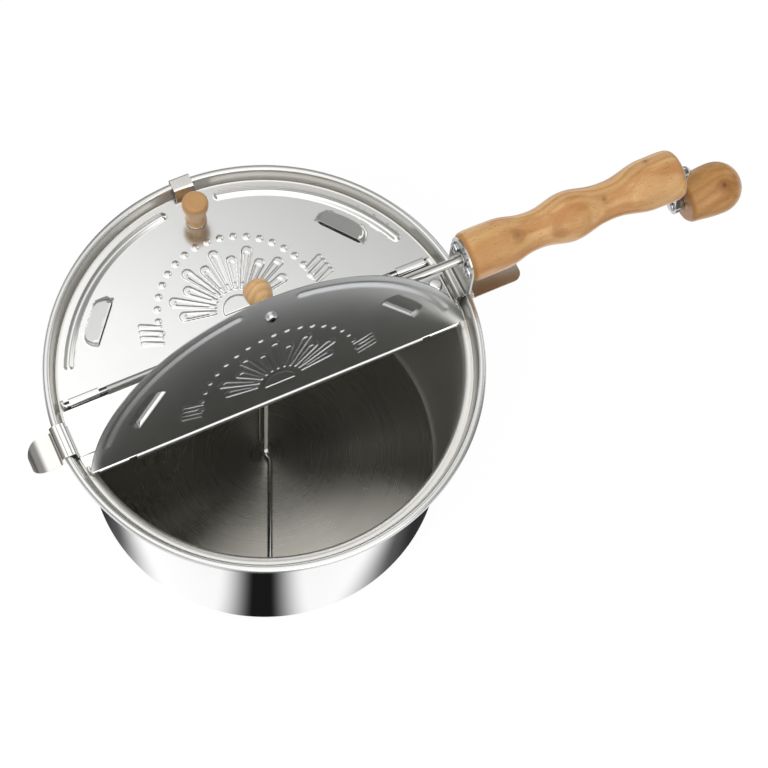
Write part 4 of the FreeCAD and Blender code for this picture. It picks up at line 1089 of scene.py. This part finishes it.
def add_small_parts():
    """Frame pieces whose shape is right: each with softened edges and its finish. The last column is the
    width of the softened edge in mm."""
    top, rear, front = "lid_assembly", "rear_lid", "front_lid"
    rows = [
        ("front_hinge_pin", "front_pin_wire", "wire", top, "wire_steel", 0.2),
        ("rear_hinge_pin", "rear_pin_wire", "wire", rear, "wire_steel", 0.2),
        ("left_clip_foot", "left_clip_fixed", "bar", top, "spring_steel", 0.15),
        ("right_clip_foot", "right_clip_fixed", "strap", top, "spring_steel", 0.15),
        ("right_clip", "right_clip_tab", "shade", "right_clip", "spring_steel", 0.15),
        # Both brackets take the darker bracket steel: painted dark reflection on bright steel.
        ("handle_bracket", "grip_bracket", "bracket", top, "bright_steel", 0.2),
        # The inner bush takes the dark gear steel as painted shade, standing for the dark gap round the rod.
        ("handle_inner_bush", "grip_bush_inner", "gear", top, "gear_steel", 0.15),
        ("handle_outer_bush", "grip_bush_outer", "brass", top, "brass", 0.15),
        ("gear_bracket", "gear_frame", "bracket", top, "bright_steel", 0.2),
        ("bracket_bushes", "gear_frame_bushes", "brass", top, "brass", 0.12),
        ("shaft_bush", "shaft_guide", "brass", top, "brass", 0.15),
        ("rear_knob_screw", "rear_lid_screw", "screw", rear, "screw_steel", 0.12),
        ("front_knob_screw", "front_lid_screw", "screw", front, "screw_steel", 0.12),
        # The crank rod and knob axle take the darker rod steel: painted dark reflection.
        ("crank_rod", "crank_bar", "rod", "crank", "wire_steel", 0.25),
        ("drive_gear_screw", "rod_gear_screw", "screw", "crank", "screw_steel", 0.1),
        ("rod_end_ring", "rod_end_collar", "screw", "crank", "screw_steel", 0.12),
        ("knob_axle", "crank_knob_axle", "rod", "crank", "wire_steel", 0.15),
        ("knob_snap_ring", "crank_knob_clip", "screw", "crank", "screw_steel", 0.0),
        ("knob_sleeve", "crank_knob_sleeve", "brass", "crank_knob", "brass", 0.1),
        ("stirrer_shaft", "stirring_shaft", "wire", "stirrer", "wire_steel", 0.2),
        ("stirrer_wire", "stirring_arm", "wire", "stirrer", "wire_steel", 0.25),
        ("driven_gear_screw", "shaft_gear_screw", "screw", "stirrer", "screw_steel", 0.1),
        ("shaft_ring", "shaft_collar", "screw", "stirrer", "screw_steel", 0.12),
    ]
    for node, name, finish, body, slot, width in rows:
        soften(node, name, BRASS if finish == "brass" else STEEL[finish], body, width)


# ---------------------------------------------------------------- stage
VIEWER_SIDE = Vector((-0.2087, -0.3249)).normalized()
# Each strip: its bearing, core and fading edge in degrees, and the share of the light that it leaves.
FRONT_STRIP = (7.5, 2.9, 16.5, 0.010)
SIDE_STRIPS = ((-78.0, 3.0, 14.0, 0.03), (98.0, 5.0, 17.0, 0.08))
BACK_STRIPS = ((-138.0, 4.0, 18.0, 0.02), (152.0, 2.0, 12.0, 0.25))
RING_INNER, RING_OUTER = 20.0, 260.0
WHITE = (1, 1, 1)


def round_pot(r, x, y):
    """Bearing in degrees from the viewer's side, and radius in metres, of a place on the table."""
    ahead = x * VIEWER_SIDE.x + y * VIEWER_SIDE.y
    aside = x * -VIEWER_SIDE.y + y * VIEWER_SIDE.x
    bearing = r.node("ShaderNodeMath", {"operation": "ARCTAN2"}, {0: aside, 1: ahead}) * (180 / math.pi)
    return bearing, (x * x + y * y).root()


def dark_strips(bearing, strips):
    """Share of the light that the strips leave at a bearing."""
    shade = 1.0
    for place, core, edge, left in strips:
        shade = (bearing - place).size().ramp(core, edge, left, 1.0) * shade
    return shade


def add_table_ring():
    """Flat ring that only polished metal sees: a dark strip towards the viewer with white beside it, dark at
    both sides, strips behind."""
    steps, height = 96, -0.1
    mesh = mesh_of("table_ring", circle(RING_INNER, height, steps) + circle(RING_OUTER, height, steps),
                   band(steps))
    made, r = material("table_ring")
    x, y, _ = r.parts(r.place())
    bearing, radius = round_pot(r, x, y)
    edge = bearing.size() - (radius - 0.109) * 1100.0 + bearing.ramp(-1.0, 1.0, 2.0, -3.0)
    behind = bearing.size() + bearing.ramp(-1.0, 1.0, 20.0, 4.0)
    edge = edge * behind.ramp(112.0, 130.0, 1.0, 0.0)
    sides = edge.ramp(26.0, 51.0, 1.0, 0.10) * edge.ramp(46.0, 64.0, 1.0, 0.25)
    strength = dark_strips(bearing, (FRONT_STRIP,) + BACK_STRIPS) * sides * 1.29
    glow = r.node("ShaderNodeEmission", inputs={"Strength": strength})
    clear = r.node("ShaderNodeBsdfTransparent")
    r.output(r.node("ShaderNodeMixShader", inputs={0: r.rays("Glossy"), 1: clear, 2: glow}))
    mesh.materials.append(made)
    ring = new_object("table_ring", mesh)
    ring.visible_camera = ring.visible_diffuse = ring.visible_shadow = ring.visible_transmission = False


def studio_glow(x, y, z):
    """Brightness that polished metal sees in a direction: soft boxes overhead and at the right, dim walls."""
    aside = x * 0.7 + y.most(0.20) * 0.5
    top = aside.ramp(0.235, 0.385, 1.80, 0.66) * aside.ramp(0.40, 0.66, 1.0, 0.35)
    top = top * y.ramp(0.42, 0.80, 1.0, 0.45) * x.ramp(-0.85, -0.35, 0.12, 1.0) * z.ramp(0.22, 0.55)
    right = (x * 0.80 + y * 0.28 + z * 0.53).ramp(0.90, 0.97) * 1.6
    front = (x * 0.05 - y * 0.83 + z * 0.56).ramp(0.82, 0.93) * 2.7
    wall = z.ramp(-0.02, 0.14, 0.26, 0.40)
    left = (x * -0.86 - y * 0.5).ramp(0.55, 0.85) * z.ramp(0.5, 0.3)
    return top.most(right).most(front).most(wall).most(left)


def add_world():
    """White surroundings; polished metal sees the studio's soft boxes and dim walls."""
    world = bpy.data.worlds.new("studio")
    bpy.context.scene.world = world
    world.use_nodes = True
    r = Recipe(world.node_tree)
    x, y, z = r.parts(r.place("Generated"))
    plain = 0.62 + (r.rays("Camera") + r.rays("Transmission")).least(1.0) * 0.38
    strength = plain + r.rays("Glossy") * (studio_glow(x, y, z) - plain)
    r.output(r.node("ShaderNodeBackground", inputs={"Color": WHITE, "Strength": strength}),
             "ShaderNodeOutputWorld")


def add_table():
    """White table that keeps the object's shadow; in polished metal it has the strips beyond the ring."""
    half, low = 3000.0, -0.3
    mesh = mesh_of("table", [(-half, -half, low), (half, -half, low), (half, half, low), (-half, half, low)],
                   [(0, 1, 2, 3)])
    made, r = material("table_white")
    x, y, _ = r.parts(r.place())
    away = ((x - 0.05) * (x - 0.05) + y * y).root()
    bearing, radius = round_pot(r, x, y)
    far = radius.ramp(0.255, 0.265)
    shade = dark_strips(bearing, (FRONT_STRIP,) + SIDE_STRIPS + BACK_STRIPS)
    glossy = r.rays("Glossy")
    strength = 1.03 + glossy * (0.26 - far * (1.0 - shade) * 1.24)
    glow = r.node("ShaderNodeEmission", inputs={"Color": WHITE, "Strength": strength})
    paint = r.node("ShaderNodeBsdfDiffuse", inputs={"Color": dim(WHITE, 0.9)})
    share = (r.rays("Camera") * away.ramp(0.25, 0.6, 0.90, 1.0)).most(glossy)
    r.output(r.node("ShaderNodeMixShader", inputs={0: share, 1: paint, 2: glow}))
    mesh.materials.append(made)
    new_object("table", mesh)


def add_lamps():
    for name, power, wide, place, aim in (("key", 7.0, 0.7, (-0.7, -0.5, 1.3), (0.05, 0, 0.1)),
                                          ("fill", 2.0, 1.2, (0.9, -0.5, 1.2), (0.05, 0, 0.1)),
                                          ("rear", 3.0, 0.8, (0.0, 1.1, 1.2), (0.1, 0, 0.1))):
        holder = new_object(name, bpy.data.lights.new(name, "AREA"))
        holder.data.energy, holder.data.size = power, wide
        holder.location = place
        holder.rotation_mode = "QUATERNION"
        holder.rotation_quaternion = (Vector(aim) - Vector(place)).to_track_quat("-Z", "Y")
        holder.visible_glossy = False


def make_stage():
    """White table and surroundings, and what only polished metal sees."""
    bpy.context.scene.view_settings.view_transform = "Standard"
    add_world()
    add_table()
    add_table_ring()
    add_lamps()


add_pot()
add_woods()
add_lids()
add_crossbar()
add_small_parts()
add_straps()
add_repeated_pieces()
make_stage()
